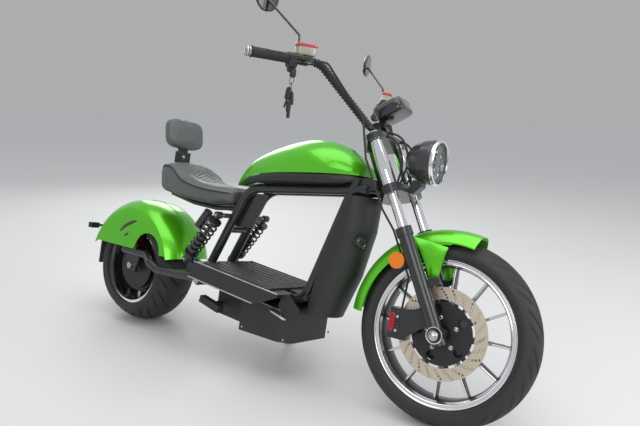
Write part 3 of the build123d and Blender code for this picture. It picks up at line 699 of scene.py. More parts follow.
@dataclass(frozen=True)
class GlassFinish(Finish):
    """Clear moulded glass or plastic that shows what lies under it."""

    alpha: float = 0.25

    def material(self) -> bpy.types.Material:
        """A thin clear skin with faint wipe marks."""
        board = Board(self.name)
        place = board.place()
        wipe = board.noise(place, 30.0, 3.0)
        tone = board.blended(wipe, self.colour, self.shade)
        rough = wipe * 0.05 + self.rough
        plain = {"alpha": self.alpha, "Specular_IOR_Level": 0.8}
        return board.surface(tone, rough, 0.0, 1.0, wipe, 0.00002, **plain)


def parked_point(carrier: Carrier, point: Point) -> Point:
    """Where an upright point of a body stands in the parked frame."""
    return tuple(float(v) for v in carrier.park(np.array(point))[0])


def wheel_frame(carrier: Carrier, middle: Point) -> dict[str, Point]:
    """Where a wheel's axle stands in the parked frame, and its direction."""
    ends = carrier.park(np.array([middle, np.array(middle) + np.array([0.0, 100.0, 0.0])]))
    axis = tuple(float(v) for v in unit(ends[1] - ends[0]))
    return {"centre": parked_point(carrier, middle), "axis": axis}


FRONT_WHEEL = wheel_frame(Carrier.FRONT_WHEEL, POSE.front_axle)
REAR_WHEEL = wheel_frame(Carrier.REAR_WHEEL, POSE.rear_axle)
LAMP_MIDDLE = parked_point(Carrier.FRAME, (0.0, 0.0, 370.0))
SIDEWAYS: Point = (0.0, math.cos(POSE.lean), -math.sin(POSE.lean))

GREEN = MetallicPaint(
    "green_metallic", (0.09, 0.58, 0.001), (0.15, 0.72, 0.003),
    0.3, 0.03, 0.55, 0.6, Grain.PEEL, 1500.0, 0.00004,
)
FRAME_BLACK = Finish(
    "frame_black", (0.012, 0.013, 0.014), (0.02, 0.021, 0.022),
    0.33, 0.06, 0.0, 0.35, Grain.PEEL, 900.0, 0.00006,
)
PLASTIC = Finish(
    "black_plastic", (0.013, 0.014, 0.014), (0.022, 0.023, 0.023),
    0.46, 0.08, 0.0, 0.0, Grain.MOULDED, 700.0, 0.00012,
)
GLOSS_BLACK = Finish(
    "gloss_black", (0.008, 0.008, 0.009), (0.015, 0.015, 0.016),
    0.14, 0.05, 0.0, 0.8, Grain.PEEL, 500.0, 0.00003,
)
# The seat and backrest leather is black; both of its tones are lifted to a dark grey that stands in
# for the satin sheen the room's light gives it: black leather with painted sheen.
LEATHER = Finish(
    "seat_leather", (0.085, 0.09, 0.09), (0.12, 0.126, 0.127),
    0.5, 0.08, 0.0, 0.05, Grain.LEATHER, 620.0, 0.00035,
)
RUBBER = Finish(
    "hand_rubber", (0.012, 0.012, 0.013), (0.022, 0.022, 0.023),
    0.62, 0.08, 0.0, 0.0, Grain.MOULDED, 900.0, 0.00012,
)
MAT = Finish(
    "deck_rubber", (0.032, 0.032, 0.033), (0.052, 0.052, 0.053),
    0.55, 0.1, 0.0, 0.0, Grain.MOULDED, 800.0, 0.0002,
)
TYRE = Finish(
    "tyre_rubber", (0.012, 0.012, 0.0125), (0.03, 0.029, 0.028),
    0.6, 0.12, 0.0, 0.0, Grain.CAST, 700.0, 0.0002,
)
CHROME = Finish(
    "chrome", (0.86, 0.86, 0.87), (0.8, 0.8, 0.82),
    0.07, 0.04, 1.0, 0.0, Grain.PEEL, 300.0, 0.00001,
)
ALLOY = Finish(
    "bare_alloy", (0.62, 0.62, 0.63), (0.5, 0.5, 0.52),
    0.3, 0.1, 1.0, 0.0, Grain.BRUSHED, 900.0, 0.00005,
)
POLISHED = Finish(
    "machined_edge", (0.8, 0.8, 0.8), (0.68, 0.68, 0.69),
    0.2, 0.08, 1.0, 0.0, Grain.BRUSHED, 900.0, 0.00003,
)
STEEL = Finish(
    "zinc_steel", (0.6, 0.6, 0.58), (0.48, 0.47, 0.45),
    0.26, 0.12, 1.0, 0.0, Grain.CAST, 1200.0, 0.00005,
)
RED = Finish(
    "red_anodised", (0.55, 0.012, 0.03), (0.42, 0.006, 0.02),
    0.25, 0.06, 0.55, 0.4, Grain.PEEL, 900.0, 0.00005,
)
ORANGE = Finish(
    "orange_reflector", (0.82, 0.22, 0.004), (0.7, 0.15, 0.003),
    0.2, 0.04, 0.0, 0.3, Grain.MOULDED, 420.0, 0.0006,
)
SPRING = Finish(
    "spring_black", (0.014, 0.014, 0.015), (0.03, 0.03, 0.032),
    0.28, 0.08, 0.2, 0.5, Grain.PEEL, 900.0, 0.00005,
)
CELLS = Finish(
    "cell_wrap", (0.02, 0.06, 0.2), (0.03, 0.08, 0.26),
    0.3, 0.06, 0.0, 0.3, Grain.PEEL, 500.0, 0.00005,
)
SCREEN = Finish(
    "screen_glass", (0.01, 0.012, 0.014), (0.02, 0.024, 0.028),
    0.06, 0.03, 0.0, 1.0, Grain.PEEL, 300.0, 0.00001,
)
SILVER = Finish(
    "mirror_silver", (0.9, 0.9, 0.9), (0.88, 0.88, 0.89),
    0.02, 0.01, 1.0, 0.0, Grain.PEEL, 200.0, 0.000005,
)
LAMP_GLASS = GlassFinish(
    "lamp_glass", (0.3, 0.32, 0.33), (0.22, 0.24, 0.25),
    0.03, 0.02, alpha=0.14,
)
BOWL = Finish(
    "lamp_shell", (0.035, 0.036, 0.037), (0.06, 0.062, 0.064),
    0.3, 0.08, 0.3, 0.2, Grain.PEEL, 700.0, 0.00005,
)
GUNMETAL = Finish(
    "grey_satin", (0.11, 0.114, 0.118), (0.17, 0.174, 0.178),
    0.34, 0.08, 0.6, 0.2, Grain.PEEL, 700.0, 0.00005,
)
CUP = Finish(
    "fluid_cup", (0.42, 0.4, 0.3), (0.3, 0.29, 0.22),
    0.2, 0.06, 0.0, 0.4, Grain.MOULDED, 300.0, 0.0001,
)
CAP = Finish(
    "red_cap", (0.62, 0.03, 0.06), (0.5, 0.02, 0.045),
    0.3, 0.06, 0.0, 0.5, Grain.PEEL, 700.0, 0.00005,
)
LED = Finish(
    "lamp_module", (0.22, 0.23, 0.24), (0.34, 0.35, 0.36),
    0.16, 0.05, 0.9, 0.3, Grain.PEEL, 500.0, 0.00002,
)
ENAMEL = {"grain": Grain.PEEL, "scale": 900.0, "depth": 0.00005}
FRONT_RIM = WheelFinish(
    "front_rim_enamel", (0.01, 0.01, 0.011), (0.02, 0.02, 0.021), 0.24,
    bright_from=0.2085, bright_to=0.2315, side_from=0.031, **FRONT_WHEEL, **ENAMEL,
)
REAR_RIM = WheelFinish(
    "rear_rim_enamel", (0.01, 0.01, 0.011), (0.02, 0.02, 0.021), 0.24,
    bright_from=0.1425, bright_to=0.165, side_from=0.047, **REAR_WHEEL, **ENAMEL,
)
MOTOR = DiscFinish(
    "hub_motor_enamel", (0.5, 0.48, 0.45), (0.4, 0.39, 0.37), 0.3,
    ring_from=0.2, grain=Grain.CAST, **REAR_WHEEL,
)
FRONT_DISC = DiscFinish(
    "ground_disc", (0.74, 0.64, 0.5), (0.6, 0.52, 0.42), 0.3, grain=Grain.CAST, **FRONT_WHEEL
)
TAIL = SplitFinish(
    "tail_lamp_lens", (0.5, 0.008, 0.008), (0.36, 0.004, 0.004),
    0.16, 0.05, 0.0, 0.8, Grain.MOULDED, 300.0, 0.0004, LAMP_MIDDLE, SIDEWAYS, 0.027,
)

SWELL_FRAMES = 20  # frames of the pads' cloth simulation


@dataclass
class Workshop:
    """Makes pieces in the parked frame, dresses them and says what they ride on."""

    frame: dict
    finished: dict[str, bpy.types.Material] = field(default_factory=dict)

    def material(self, finish: Finish) -> bpy.types.Material:
        """The finish's material, built once."""
        if finish.name not in self.finished:
            self.finished[finish.name] = finish.material()
        return self.finished[finish.name]

    def dress(self, finish: Finish, *nodes: str) -> None:
        """Give carried-over nodes a finish."""
        for node in nodes:
            piece = self.frame["nodes"][node]
            if not piece.material_slots:
                piece.data.materials.append(None)
            for slot in piece.material_slots:
                slot.material = self.material(finish)

    def raw(self, name: str, shell: Shell, carrier: Carrier) -> bpy.types.Object:
        """A closed, outward-facing mesh object in the parked frame."""
        points, faces = shell
        mesh = bpy.data.meshes.new(name)
        mesh.from_pydata(carrier.park(points).tolist(), [], faces)
        work = bmesh.new()
        work.from_mesh(mesh)
        bmesh.ops.remove_doubles(work, verts=work.verts, dist=1e-6)
        bmesh.ops.recalc_face_normals(work, faces=work.faces)
        work.to_mesh(mesh)
        work.free()
        made = bpy.data.objects.new(name, mesh)
        bpy.context.scene.collection.objects.link(made)
        return made

    def finish_piece(
        self,
        made: bpy.types.Object,
        carrier: Carrier,
        finish: Finish,
        sharp: float = 40.0,
        replaces: Sequence[str] = (),
    ) -> bpy.types.Object:
        """Shade, colour and mount a piece.

        Args:
            made: The piece.
            carrier: The body it rides on.
            finish: Its finish.
            sharp: Edges steeper than this many degrees stay sharp.
            replaces: Nodes that it stands for.
        Returns:
            The piece.
        """
        made.data.materials.clear()
        made.data.materials.append(self.material(finish))
        made.data.shade_smooth()
        made.data.set_sharp_from_angle(angle=math.radians(sharp))
        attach(made, carrier.value)
        if replaces:
            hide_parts(*replaces)
        LOG.info("%s: %d faces", made.name, len(made.data.polygons))
        return made

    def piece(
        self,
        name: str,
        shell: Shell,
        carrier: Carrier,
        finish: Finish,
        slot: str,
        sharp: float = 40.0,
        replaces: Sequence[str] = (),
    ) -> bpy.types.Object:
        """Make and mount one piece from its shell."""
        made = self.raw(name, shell, carrier)
        return self.finish_piece(made, carrier, finish, sharp, replaces)

    def pieces(self, carrier: Carrier, *rows: tuple) -> None:
        """Make and mount pieces of one body, each given as for `piece` without its carrier."""
        for name, shell, *rest in rows:
            self.piece(name, shell, carrier, *rest)


def coordinates(mesh: bpy.types.Mesh) -> Array:
    """The mesh's points, as rows."""
    flat = np.empty(len(mesh.vertices) * 3)
    mesh.vertices.foreach_get("co", flat)
    return flat.reshape(-1, 3)


def move(mesh: bpy.types.Mesh, points: Array) -> None:
    """Put the mesh's points at new places."""
    mesh.vertices.foreach_set("co", points.ravel())
    mesh.update()


def evaluated(made: bpy.types.Object) -> bpy.types.Object:
    """The piece as its modifiers leave it."""
    return made.evaluated_get(bpy.context.evaluated_depsgraph_get())


def apply(made: bpy.types.Object) -> None:
    """Keep what the piece's modifiers make as its own mesh."""
    mesh = bpy.data.meshes.new_from_object(evaluated(made))
    made.modifiers.clear()
    made.data = mesh


def smoothed(made: bpy.types.Object) -> None:
    """Divide the piece's faces once, smoothly."""
    smooth = made.modifiers.new("smooth", "SUBSURF")
    smooth.levels = smooth.render_levels = 1
    apply(made)


def swollen(
    made: bpy.types.Object, voxel: float, cap: float, floor: float, pressure: float = 4.0
) -> None:
    """Swell a pad by a cloth simulation and keep the result in its mesh.

    The mesh is remeshed to even squares and blown up for SWELL_FRAMES. A point then moves by
    its own shift, no further than the cap, and less and less toward the floor that it rests on.

    Args:
        made: The pad.
        voxel: Size of the remeshed squares, in metres.
        cap: Furthest that a point may move, in metres.
        floor: Height over the pad's lowest point under which it moves less, in metres.
        pressure: Pressure inside.
    """
    scene = bpy.context.scene
    remesh = made.modifiers.new("even", "REMESH")
    remesh.mode = "VOXEL"
    remesh.voxel_size = voxel
    apply(made)
    start = coordinates(made.data)
    cloth = made.modifiers.new("swell", "CLOTH")
    cloth.settings.quality = 5
    cloth.settings.mass = 0.3
    cloth.settings.tension_stiffness = 12.0
    cloth.settings.compression_stiffness = 12.0
    cloth.settings.use_pressure = True
    cloth.settings.uniform_pressure_force = pressure
    cloth.settings.effector_weights.gravity = 0.0
    cloth.point_cache.frame_start = 1
    cloth.point_cache.frame_end = SWELL_FRAMES
    for step in range(1, SWELL_FRAMES + 1):
        scene.frame_set(step)
    shift = coordinates(evaluated(made).to_mesh()) - start
    evaluated(made).to_mesh_clear()
    made.modifiers.clear()
    scene.frame_set(1)
    size = np.linalg.norm(shift, axis=1, keepdims=True)
    shift *= np.minimum(1.0, cap / np.maximum(size, 1e-9))
    rise = (start[:, 2] - start[:, 2].min()) / floor
    shift *= np.clip(rise, 0.0, 1.0)[:, None]
    move(made.data, start + shift)


def unparked(points: Array) -> Array:
    """Points of the parked frame back in the frame's upright axes, in millimetres."""
    c, s = math.cos(POSE.lean), math.sin(POSE.lean)
    x = points[:, 0] * 1000 + POSE.middle[0]
    across = points[:, 1] * 1000 + POSE.middle[1]
    up = points[:, 2] * 1000
    return np.stack([x, c * across - s * up, s * across + c * up], axis=1)


# ---------- wheels

TREAD_POINTS = 51  # points across a tyre's tread

# Tread grooves, long and short. Each has a shift in pitches, its width in pitches in the middle
# and what it gains toward the shoulder, and where it starts and stops across the tread, with the
# share of the way over which it fades in and out.
GROOVES = (
    (0.0, 0.028, 0.034, 0.10, 0.05, 0.90, 0.06),
    (0.5, 0.024, 0.030, 0.52, 0.06, 0.98, 0.05),
)


@dataclass
class Tyre:
    """A tubeless tyre with a moulded tread, in millimetres."""

    carrier: Carrier
    centre: Point
    outer: float
    width: float
    crown: float
    rim: float
    seat: float
    half_seat: float
    pitches: int
    steps: int
    groove: float = 6.0
    lip: float = 3.6

    @property
    def edge(self) -> float:
        """Half the tread's width."""
        return self.width / 2 * 0.92

    def profile(self) -> Array:
        """The closed outline as (radius, across).

        The tread is an arc of the crown's radius. Each wall is an arc through its widest point
        down to the bead, and the bead closes the outline over the rim's bed.
        """
        half, bead_half = self.width / 2, self.half_seat + self.lip
        across = np.linspace(-self.edge, self.edge, TREAD_POINTS)
        arc = self.outer - self.crown + np.sqrt(self.crown ** 2 - across ** 2)
        tread = np.stack([arc, across], axis=1)
        bulge = self.rim + (arc[-1] - self.rim) * 0.62
        a, b, c = arc[-1] + 1j * self.edge, bulge + 1j * half, self.rim + 3 + 1j * bead_half
        mid = (c - a) / (b - a)
        hub = (b - a) * (mid - abs(mid) ** 2) / (2j * mid.imag) + a
        turn = np.unwrap(np.angle(np.array([a, b, c]) - hub))
        upper, lower = np.linspace(turn[0], turn[1], 9), np.linspace(turn[1], turn[2], 8)
        wall = hub + abs(a - hub) * np.exp(1j * np.concatenate([upper[1:], lower[1:]]))
        right = np.stack([wall.real, wall.imag], axis=1)
        seat = (self.seat, self.half_seat)
        bead = np.array([(self.rim, bead_half), (self.rim, self.half_seat), seat])
        flip = np.array([1.0, -1.0])
        return np.concatenate([tread, right, bead, (bead * flip)[::-1], (right * flip)[::-1]])

    def grooves(self, turn: Array, across: Array) -> Array:
        """Depth of the tread from nought to one.

        Long grooves start near the middle and sweep back toward each shoulder, by 0.9 pitches
        times the 1.5th power of the way across. They alternate from side to side, with a
        shorter one between each two.
        """
        place = across / self.edge
        out = np.abs(place)
        sweep = turn * self.pitches / (2 * math.pi) + 0.5 * (place > 0) - 0.9 * out ** 1.5
        cuts = []
        for shift, thin, spread, start, rise, stop, fall in GROOVES:
            away = np.abs((sweep + shift) % 1.0 - 0.5) / (thin + spread * out)
            ends = np.clip((out - start) / rise, 0, 1) * np.clip((stop - out) / fall, 0, 1)
            cuts.append(np.clip(1.5 - away, 0, 1) * ends)
        return np.maximum(*cuts)

    def shell(self) -> Shell:
        """Turn the outline about the axle, sunk by the tread's grooves."""
        rows = self.profile()
        turn = full_turn(self.steps)[:, None]
        radius, across = rows[None, :, 0], rows[None, :, 1]
        tread = np.zeros(rows.shape[0])
        tread[1:TREAD_POINTS - 1] = 1.0
        radius = radius - self.grooves(turn, across) * self.groove * tread[None]
        x = self.centre[0] + radius * np.cos(turn)
        z = self.centre[2] + radius * np.sin(turn)
        return looped(np.stack([x, np.broadcast_to(across, x.shape) + self.centre[1], z], axis=-1))

    def ribs(self) -> Shell:
        """Two thin raised bands round each wall."""
        bands = []
        half = self.width / 2
        edge_r = self.outer - self.crown + math.sqrt(self.crown ** 2 - self.edge ** 2)
        for side in (-1, 1):
            for drop, out in ((0.34, 0.975), (0.80, 0.958)):
                middle = np.array([self.rim + (edge_r - self.rim) * drop, side * half * out])
                bands.append(ring_round(middle + circle(1.2, 8), self.centre, (0, 1, 0), 128))
        return joined(bands)


@dataclass
class Wheels:
    """Both wheels: tyres, rims, discs and their bolts."""

    front: Tyre = field(default_factory=lambda: Tyre(
        Carrier.FRONT_WHEEL, POSE.front_axle, outer=293, width=110, crown=60,
        rim=230.3, seat=213.3, half_seat=43.7, pitches=16, steps=960,
    ))
    rear: Tyre = field(default_factory=lambda: Tyre(
        Carrier.REAR_WHEEL, POSE.rear_axle, outer=238, width=215, crown=130,
        rim=163.3, seat=154.3, half_seat=82.7, pitches=13, steps=936,
    ))
    spokes: int = 12
    spoke_reach: tuple[float, float] = (30.0, 208.0)
    spoke_half: tuple[float, float] = (5.0, 4.0)
    spoke_half_deep: tuple[float, float] = (23.0, 17.0)

    @staticmethod
    def round_axle(centre: Point, radius: float, turn: float, across: float) -> Point:
        """A point at a radius and angle from an axle, in the upright frame."""
        return (centre[0] + radius * math.cos(turn), across, centre[2] + radius * math.sin(turn))

    def ring_of_bolts(
        self, centre: Point, radius: float, count: int, across: float, head: tuple[float, float],
        lead: float = 0.0,
    ) -> Shell:
        """Bolt heads of (radius, height) evenly round an axle, facing outward."""
        turn = [lead + 2 * math.pi * i / count for i in range(count)]
        places = [self.round_axle(centre, radius, t, across) for t in turn]
        return bolt_heads(places, (0, 1 if across > 0 else -1, 0), *head)

    def spoke_lines(self) -> Array:
        """Unit directions of the spokes, from the front axle."""
        turn = 2 * math.pi * np.arange(self.spokes) / self.spokes
        return np.stack([np.cos(turn), np.zeros(self.spokes), np.sin(turn)], axis=1)

    def cast_rim(self) -> Shell:
        """The front rim: a barrel with beaded lips, a waisted hub and deep, narrow spokes.

        Each spoke's outline is a rounded bar, carried out from the hub. It narrows across the
        turn and along the axle, from its first half sizes at the hub to its second at the rim.
        """
        lip = [(230, 44), (230, 47), (229, 48.6), (226.5, 49), (224.6, 48), (223.6, 46.4)]
        lip += [(217.4, 46), (216.4, 47.6), (214.4, 48.2), (212.6, 47), (211.6, 44.6), (209, 34)]
        lip += [(204.4, 24)]
        barrel = [(213, -44), (213, 44)] + lip + [(r, -w) for r, w in reversed(lip)]
        hub = [(8.3, -38), (88, -37), (92, -35), (92, -32), (48, -29), (38, -22), (33, 0)]
        hub += [(38, 22), (40, 27), (40, 31), (36, 36), (30, 38), (8.3, 38)]
        axle = self.front.centre
        parts = [ring_round(barrel, axle, (0, 1, 0), 144), ring_round(hub, axle, (0, 1, 0), 64)]
        out = np.linspace(*self.spoke_reach, 9)
        corners = circle(1.0, 20)
        bar = np.sign(corners) * np.abs(corners) ** 0.35
        halves = (self.spoke_half, self.spoke_half_deep)
        size = np.stack([np.interp(out, self.spoke_reach, pair) for pair in halves], axis=1)
        for line in self.spoke_lines():
            path = np.array(axle) + out[:, None] * line
            parts.append(skinned(carried(path, bar[None] * size[:, None], (0.0, 1.0, 0.0))))
        return joined(parts)

    def spoke_edges(self) -> Shell:
        """The machined outer edges of the spokes, on both sides."""
        out = np.linspace(44, 207, 8)
        edge = circle(1.0, 10) * np.array([3.4, 0.7])
        across = np.interp(out, self.spoke_reach, self.spoke_half_deep)[:, None]
        parts = []
        for line in self.spoke_lines():
            for side in (-1, 1):
                path = np.array(self.front.centre) + out[:, None] * line
                path = path + side * across * np.array([0.0, 1.0, 0.0])
                parts.append(skinned(carried(path, edge, (0.0, 1.0, 0.0))))
        return joined(parts)

    def hole_rims(self) -> Shell:
        """The chamfered edges of the disc's holes, on its outer face."""
        edge = [(2.55, 0.05), (3.7, 0.12), (3.7, -0.1), (2.55, -0.1)]
        parts = []
        for radius, lead in ((112.5, 0.0), (120.5, 3.0), (128.5, 6.0), (136.5, 9.0)):
            for k in range(24):
                turn = math.radians(k * 15 + lead)
                place = self.round_axle(self.front.centre, radius, turn, -52.25)
                parts.append(ring_round(edge, place, (0, -1, 0), 14))
        return joined(parts)

    def valve(self, centre: Point, radius: float) -> Shell:
        """A valve stem with its cap, pointing at the axle."""
        x, _, z = centre
        stem = [(0, 0), (4, 0), (4, 10), (3, 11), (3, 26), (3.8, 27), (3.8, 36), (0, 37)]
        return turned(stem, (x + radius, 20.0, z), (-1, 0, 0), 16)

    def build(self, shop: Workshop) -> None:
        """Make the tyres and small parts, and dress the rims, discs and motor."""
        tyres = (("front_tread", self.front, "front_tyre"), ("rear_tread", self.rear, "rear_tyre"))
        for name, tyre, node in tyres:
            shop.piece(name, tyre.shell(), tyre.carrier, TYRE, "tyre", 28.0, (node,))
            shop.piece(name + "_bands", tyre.ribs(), tyre.carrier, TYRE, "tyre")
        axle, rear = self.front.centre, self.rear.centre
        bolts = self.ring_of_bolts(axle, 50, 5, -53.0, (6.0, 5.0), 0.5)
        covers = [self.ring_of_bolts(rear, 84, 8, side * 50.0, (4.5, 3.5)) for side in (-1, 1)]
        shop.pieces(
            Carrier.FRONT_WHEEL,
            ("front_rim_cast", self.cast_rim(), FRONT_RIM, "black_alloy", 35.0, ("front_rim",)),
            ("spoke_edges", self.spoke_edges(), POLISHED, "alloy", 60.0),
            ("disc_hole_rims", self.hole_rims(), FRAME_BLACK, "black_alloy", 60.0),
            ("disc_bolts", bolts, STEEL, "steel"),
        )
        shop.piece("motor_bolts", joined(covers), Carrier.REAR_WHEEL, STEEL, "steel")
        shop.piece("front_valve", self.valve(axle, 204.0), Carrier.FRONT_WHEEL, RUBBER, "rubber")
        shop.piece("rear_valve", self.valve(rear, 144.0), Carrier.REAR_WHEEL, RUBBER, "rubber")
        shop.dress(REAR_RIM, "rear_rim")
        shop.dress(FRONT_DISC, "front_disc")
        shop.dress(MOTOR, "hub_motor")


# ---------- seat and backrest

RIB_PITCH = 17.0  # from one cross rib of the saddle to the next, in millimetres


@dataclass
class SoftSeat:
    """The saddle with its raised passenger end, and the backrest pad."""

    rows: tuple[tuple[float, float, float, float], ...] = (
        (106, 70, 612, 672), (112, 92, 602, 688), (130, 112, 596, 706), (165, 126, 592, 714),
        (205, 132, 588, 708), (240, 135, 582, 688), (270, 136, 580, 666), (310, 135, 577, 652),
        (360, 131, 574, 643), (420, 122, 574, 637), (480, 104, 580, 637), (515, 88, 584, 640),
        (526, 70, 588, 634),
    )
    steps: int = 72
    pad_middle: Point = (116, 0, 839)
    pad_half: Point = (29, 97, 64)
    pad_tilt: float = -12.0

    def outline(self, half: float, low: float, top: float) -> Array:
        """A cross-section as (across, height).

        The top is nearly flat with a slight crown, its shoulder is a tight curve, the wall
        leans in as it falls, and the floor is flat: a superellipse whose lower half narrows.
        """
        turn = full_turn(self.steps)
        c, s = np.cos(turn), np.sin(turn)
        power = np.where(s > 0, 0.42, 0.30)
        across = half * np.sign(c) * np.abs(c) ** power
        high = (top - low) / 2
        z = low + high + high * np.sign(s) * np.abs(s) ** power
        lean_in = 1.0 - 0.07 * np.clip(1.0 - (z - low) / (top - low), 0, 1) ** 1.5
        crown = (1.0 - (across / half) ** 2) * 4.0 * (z - low) / (top - low)
        return np.stack([across * lean_in, z + crown - 2.0], axis=1)

    def saddle(self) -> Shell:
        """Stack the cross-sections, smoothly read between the table's rows."""
        table = np.array(self.rows, dtype=float)
        x = np.linspace(table[0, 0], table[-1, 0], 60)
        kernel = np.array([0.25, 0.5, 0.25])
        columns = []
        for k in (1, 2, 3):
            raw = np.interp(x, table[:, 0], table[:, k])
            padded = np.concatenate([raw[:1], raw, raw[-1:]])
            columns.append(np.convolve(padded, kernel, mode="valid"))
        rings = []
        for place, half, low, top in zip(x, *columns):
            section = self.outline(half, low, top)
            rings.append(np.column_stack([np.full(len(section), place), section]))
        return skinned(np.stack(rings))

    def channels(self, made: bpy.types.Object) -> None:
        """Press the sewn lines into the swollen saddle.

        A point sinks by d * exp(-(distance to the nearest line / w) squared). The lines are
        the border seam, set in from the shoulder, cross ribs over its middle, and the edge at
        which the ribs end. Between the ribs it rises a little.
        """
        points = coordinates(made.data)
        x, y, z = unparked(points).T
        table = np.array(self.rows, dtype=float)
        half, top = np.interp(x, table[:, 0], table[:, 1]), np.interp(x, table[:, 0], table[:, 3])
        upper = np.clip((z - (top - 22.0)) / 12.0, 0, 1)
        across = np.abs(y)
        border = np.exp(-(((across - half * 0.80) / 3.2) ** 2)) * upper * (x > 122) * (x < 520)
        inner = np.clip((half * 0.46 + 6.0 - across) / 6.0, 0, 1) * upper
        rib = np.abs(((x - 0.5 * across) / RIB_PITCH) % 1.0 - 0.5) * RIB_PITCH
        zone = np.clip((x - 182) / 8, 0, 1) * np.clip((372 - x) / 8, 0, 1)
        ribs = np.exp(-((rib / 2.6) ** 2)) * inner * zone
        edge = np.exp(-(((across - half * 0.46) / 2.6) ** 2)) * upper * zone
        sink = 3.2 * border + 2.8 * ribs + 3.0 * edge
        rise = (inner * zone * 1.6 - sink) / 1000.0
        lift = np.array([0.0, math.sin(POSE.lean), math.cos(POSE.lean)])
        move(made.data, points + lift * rise[:, None])

    def piping(self) -> Shell:
        """A bead of piping round the shoulder's side, half sunk in the leather."""
        table = np.array(self.rows, dtype=float)[2:-1]
        x = np.linspace(table[0, 0] + 2, table[-1, 0] - 2, 120)
        half = np.interp(x, table[:, 0], table[:, 1])
        top = np.interp(x, table[:, 0], table[:, 3])
        beads = []
        for side in (-1, 1):
            sunk = 5.0 * np.abs(np.linspace(-1, 1, 120)) ** 16
            path = np.stack([x, side * (half * 0.955 + 2.0 - sunk), top - 17.0 - sunk], axis=1)
            beads.append(skinned(carried(path, circle(2.6, 10))))
        return joined(beads)

    def build(self, shop: Workshop) -> None:
        """Swell, sew and mount the saddle and the backrest."""
        seat = shop.raw("saddle", self.saddle(), Carrier.FRAME)
        swollen(seat, 0.0055, 0.006, 0.03)
        smoothed(seat)
        self.channels(seat)
        shop.finish_piece(seat, Carrier.FRAME, LEATHER, 80.0, ("seat",))
        shop.piece("saddle_piping", self.piping(), Carrier.FRAME, RUBBER, "rubber")
        shop.dress(PLASTIC, "seat_base")
        block = soft_block(self.pad_middle, self.pad_half, 0.52, 64, self.pad_tilt)
        pad = shop.raw("backrest_pad", block, Carrier.FRAME)
        swollen(pad, 0.0045, 0.005, 0.02)
        smoothed(pad)
        self.pad_seams(pad)
        shop.finish_piece(pad, Carrier.FRAME, LEATHER, 80.0, ("backrest",))
        back = soft_block((98, 0, 842), (10, 80, 52), 0.42, 40, self.pad_tilt)
        stem = soft_block((119, 0, 774), (7, 24, 30), 0.25, 24, self.pad_tilt)
        shell = joined([back, stem])
        shop.piece("backrest_shell", shell, Carrier.FRAME, PLASTIC, "black_plastic")
        bolt = bolt_heads([(129.0, 0.0, 742.0)], (1, 0, 0), 7.0, 5.0)
        shop.piece("backrest_bolt", bolt, Carrier.FRAME, STEEL, "steel")

    def pad_seams(self, made: bpy.types.Object) -> None:
        """Press one seam round the pad's sides and one border into its face.

        The side seam lies 8 mm in front of the pad's middle plane, and the border where the
        distance from a flat bar in the pad's middle is 28 mm.
        """
        points = coordinates(made.data)
        x, y, z = (unparked(points) - np.array(self.pad_middle, dtype=float)).T
        c, s = math.cos(math.radians(self.pad_tilt)), math.sin(math.radians(self.pad_tilt))
        deep, across, high = x * c - z * s, np.abs(y), np.abs(x * s + z * c)
        _, half, tall = self.pad_half
        side = np.exp(-(((deep - 8.0) / 2.0) ** 2)) * (np.maximum(across / half, high / tall) > 0.8)
        ring = np.hypot(np.maximum(across - 44.0, 0.0), np.maximum(high - 17.0, 0.0)) - 28.0
        border = np.exp(-((ring / 2.4) ** 2)) * (deep > 10)
        sink = (2.4 * side + 2.0 * border) / 1000.0
        move(made.data, points + unit(points.mean(axis=0) - points) * sink[:, None])


# ---------- bodywork

SHOULDER_FALL = 42.0  # how far a fender's shoulder lies under its crown, in millimetres


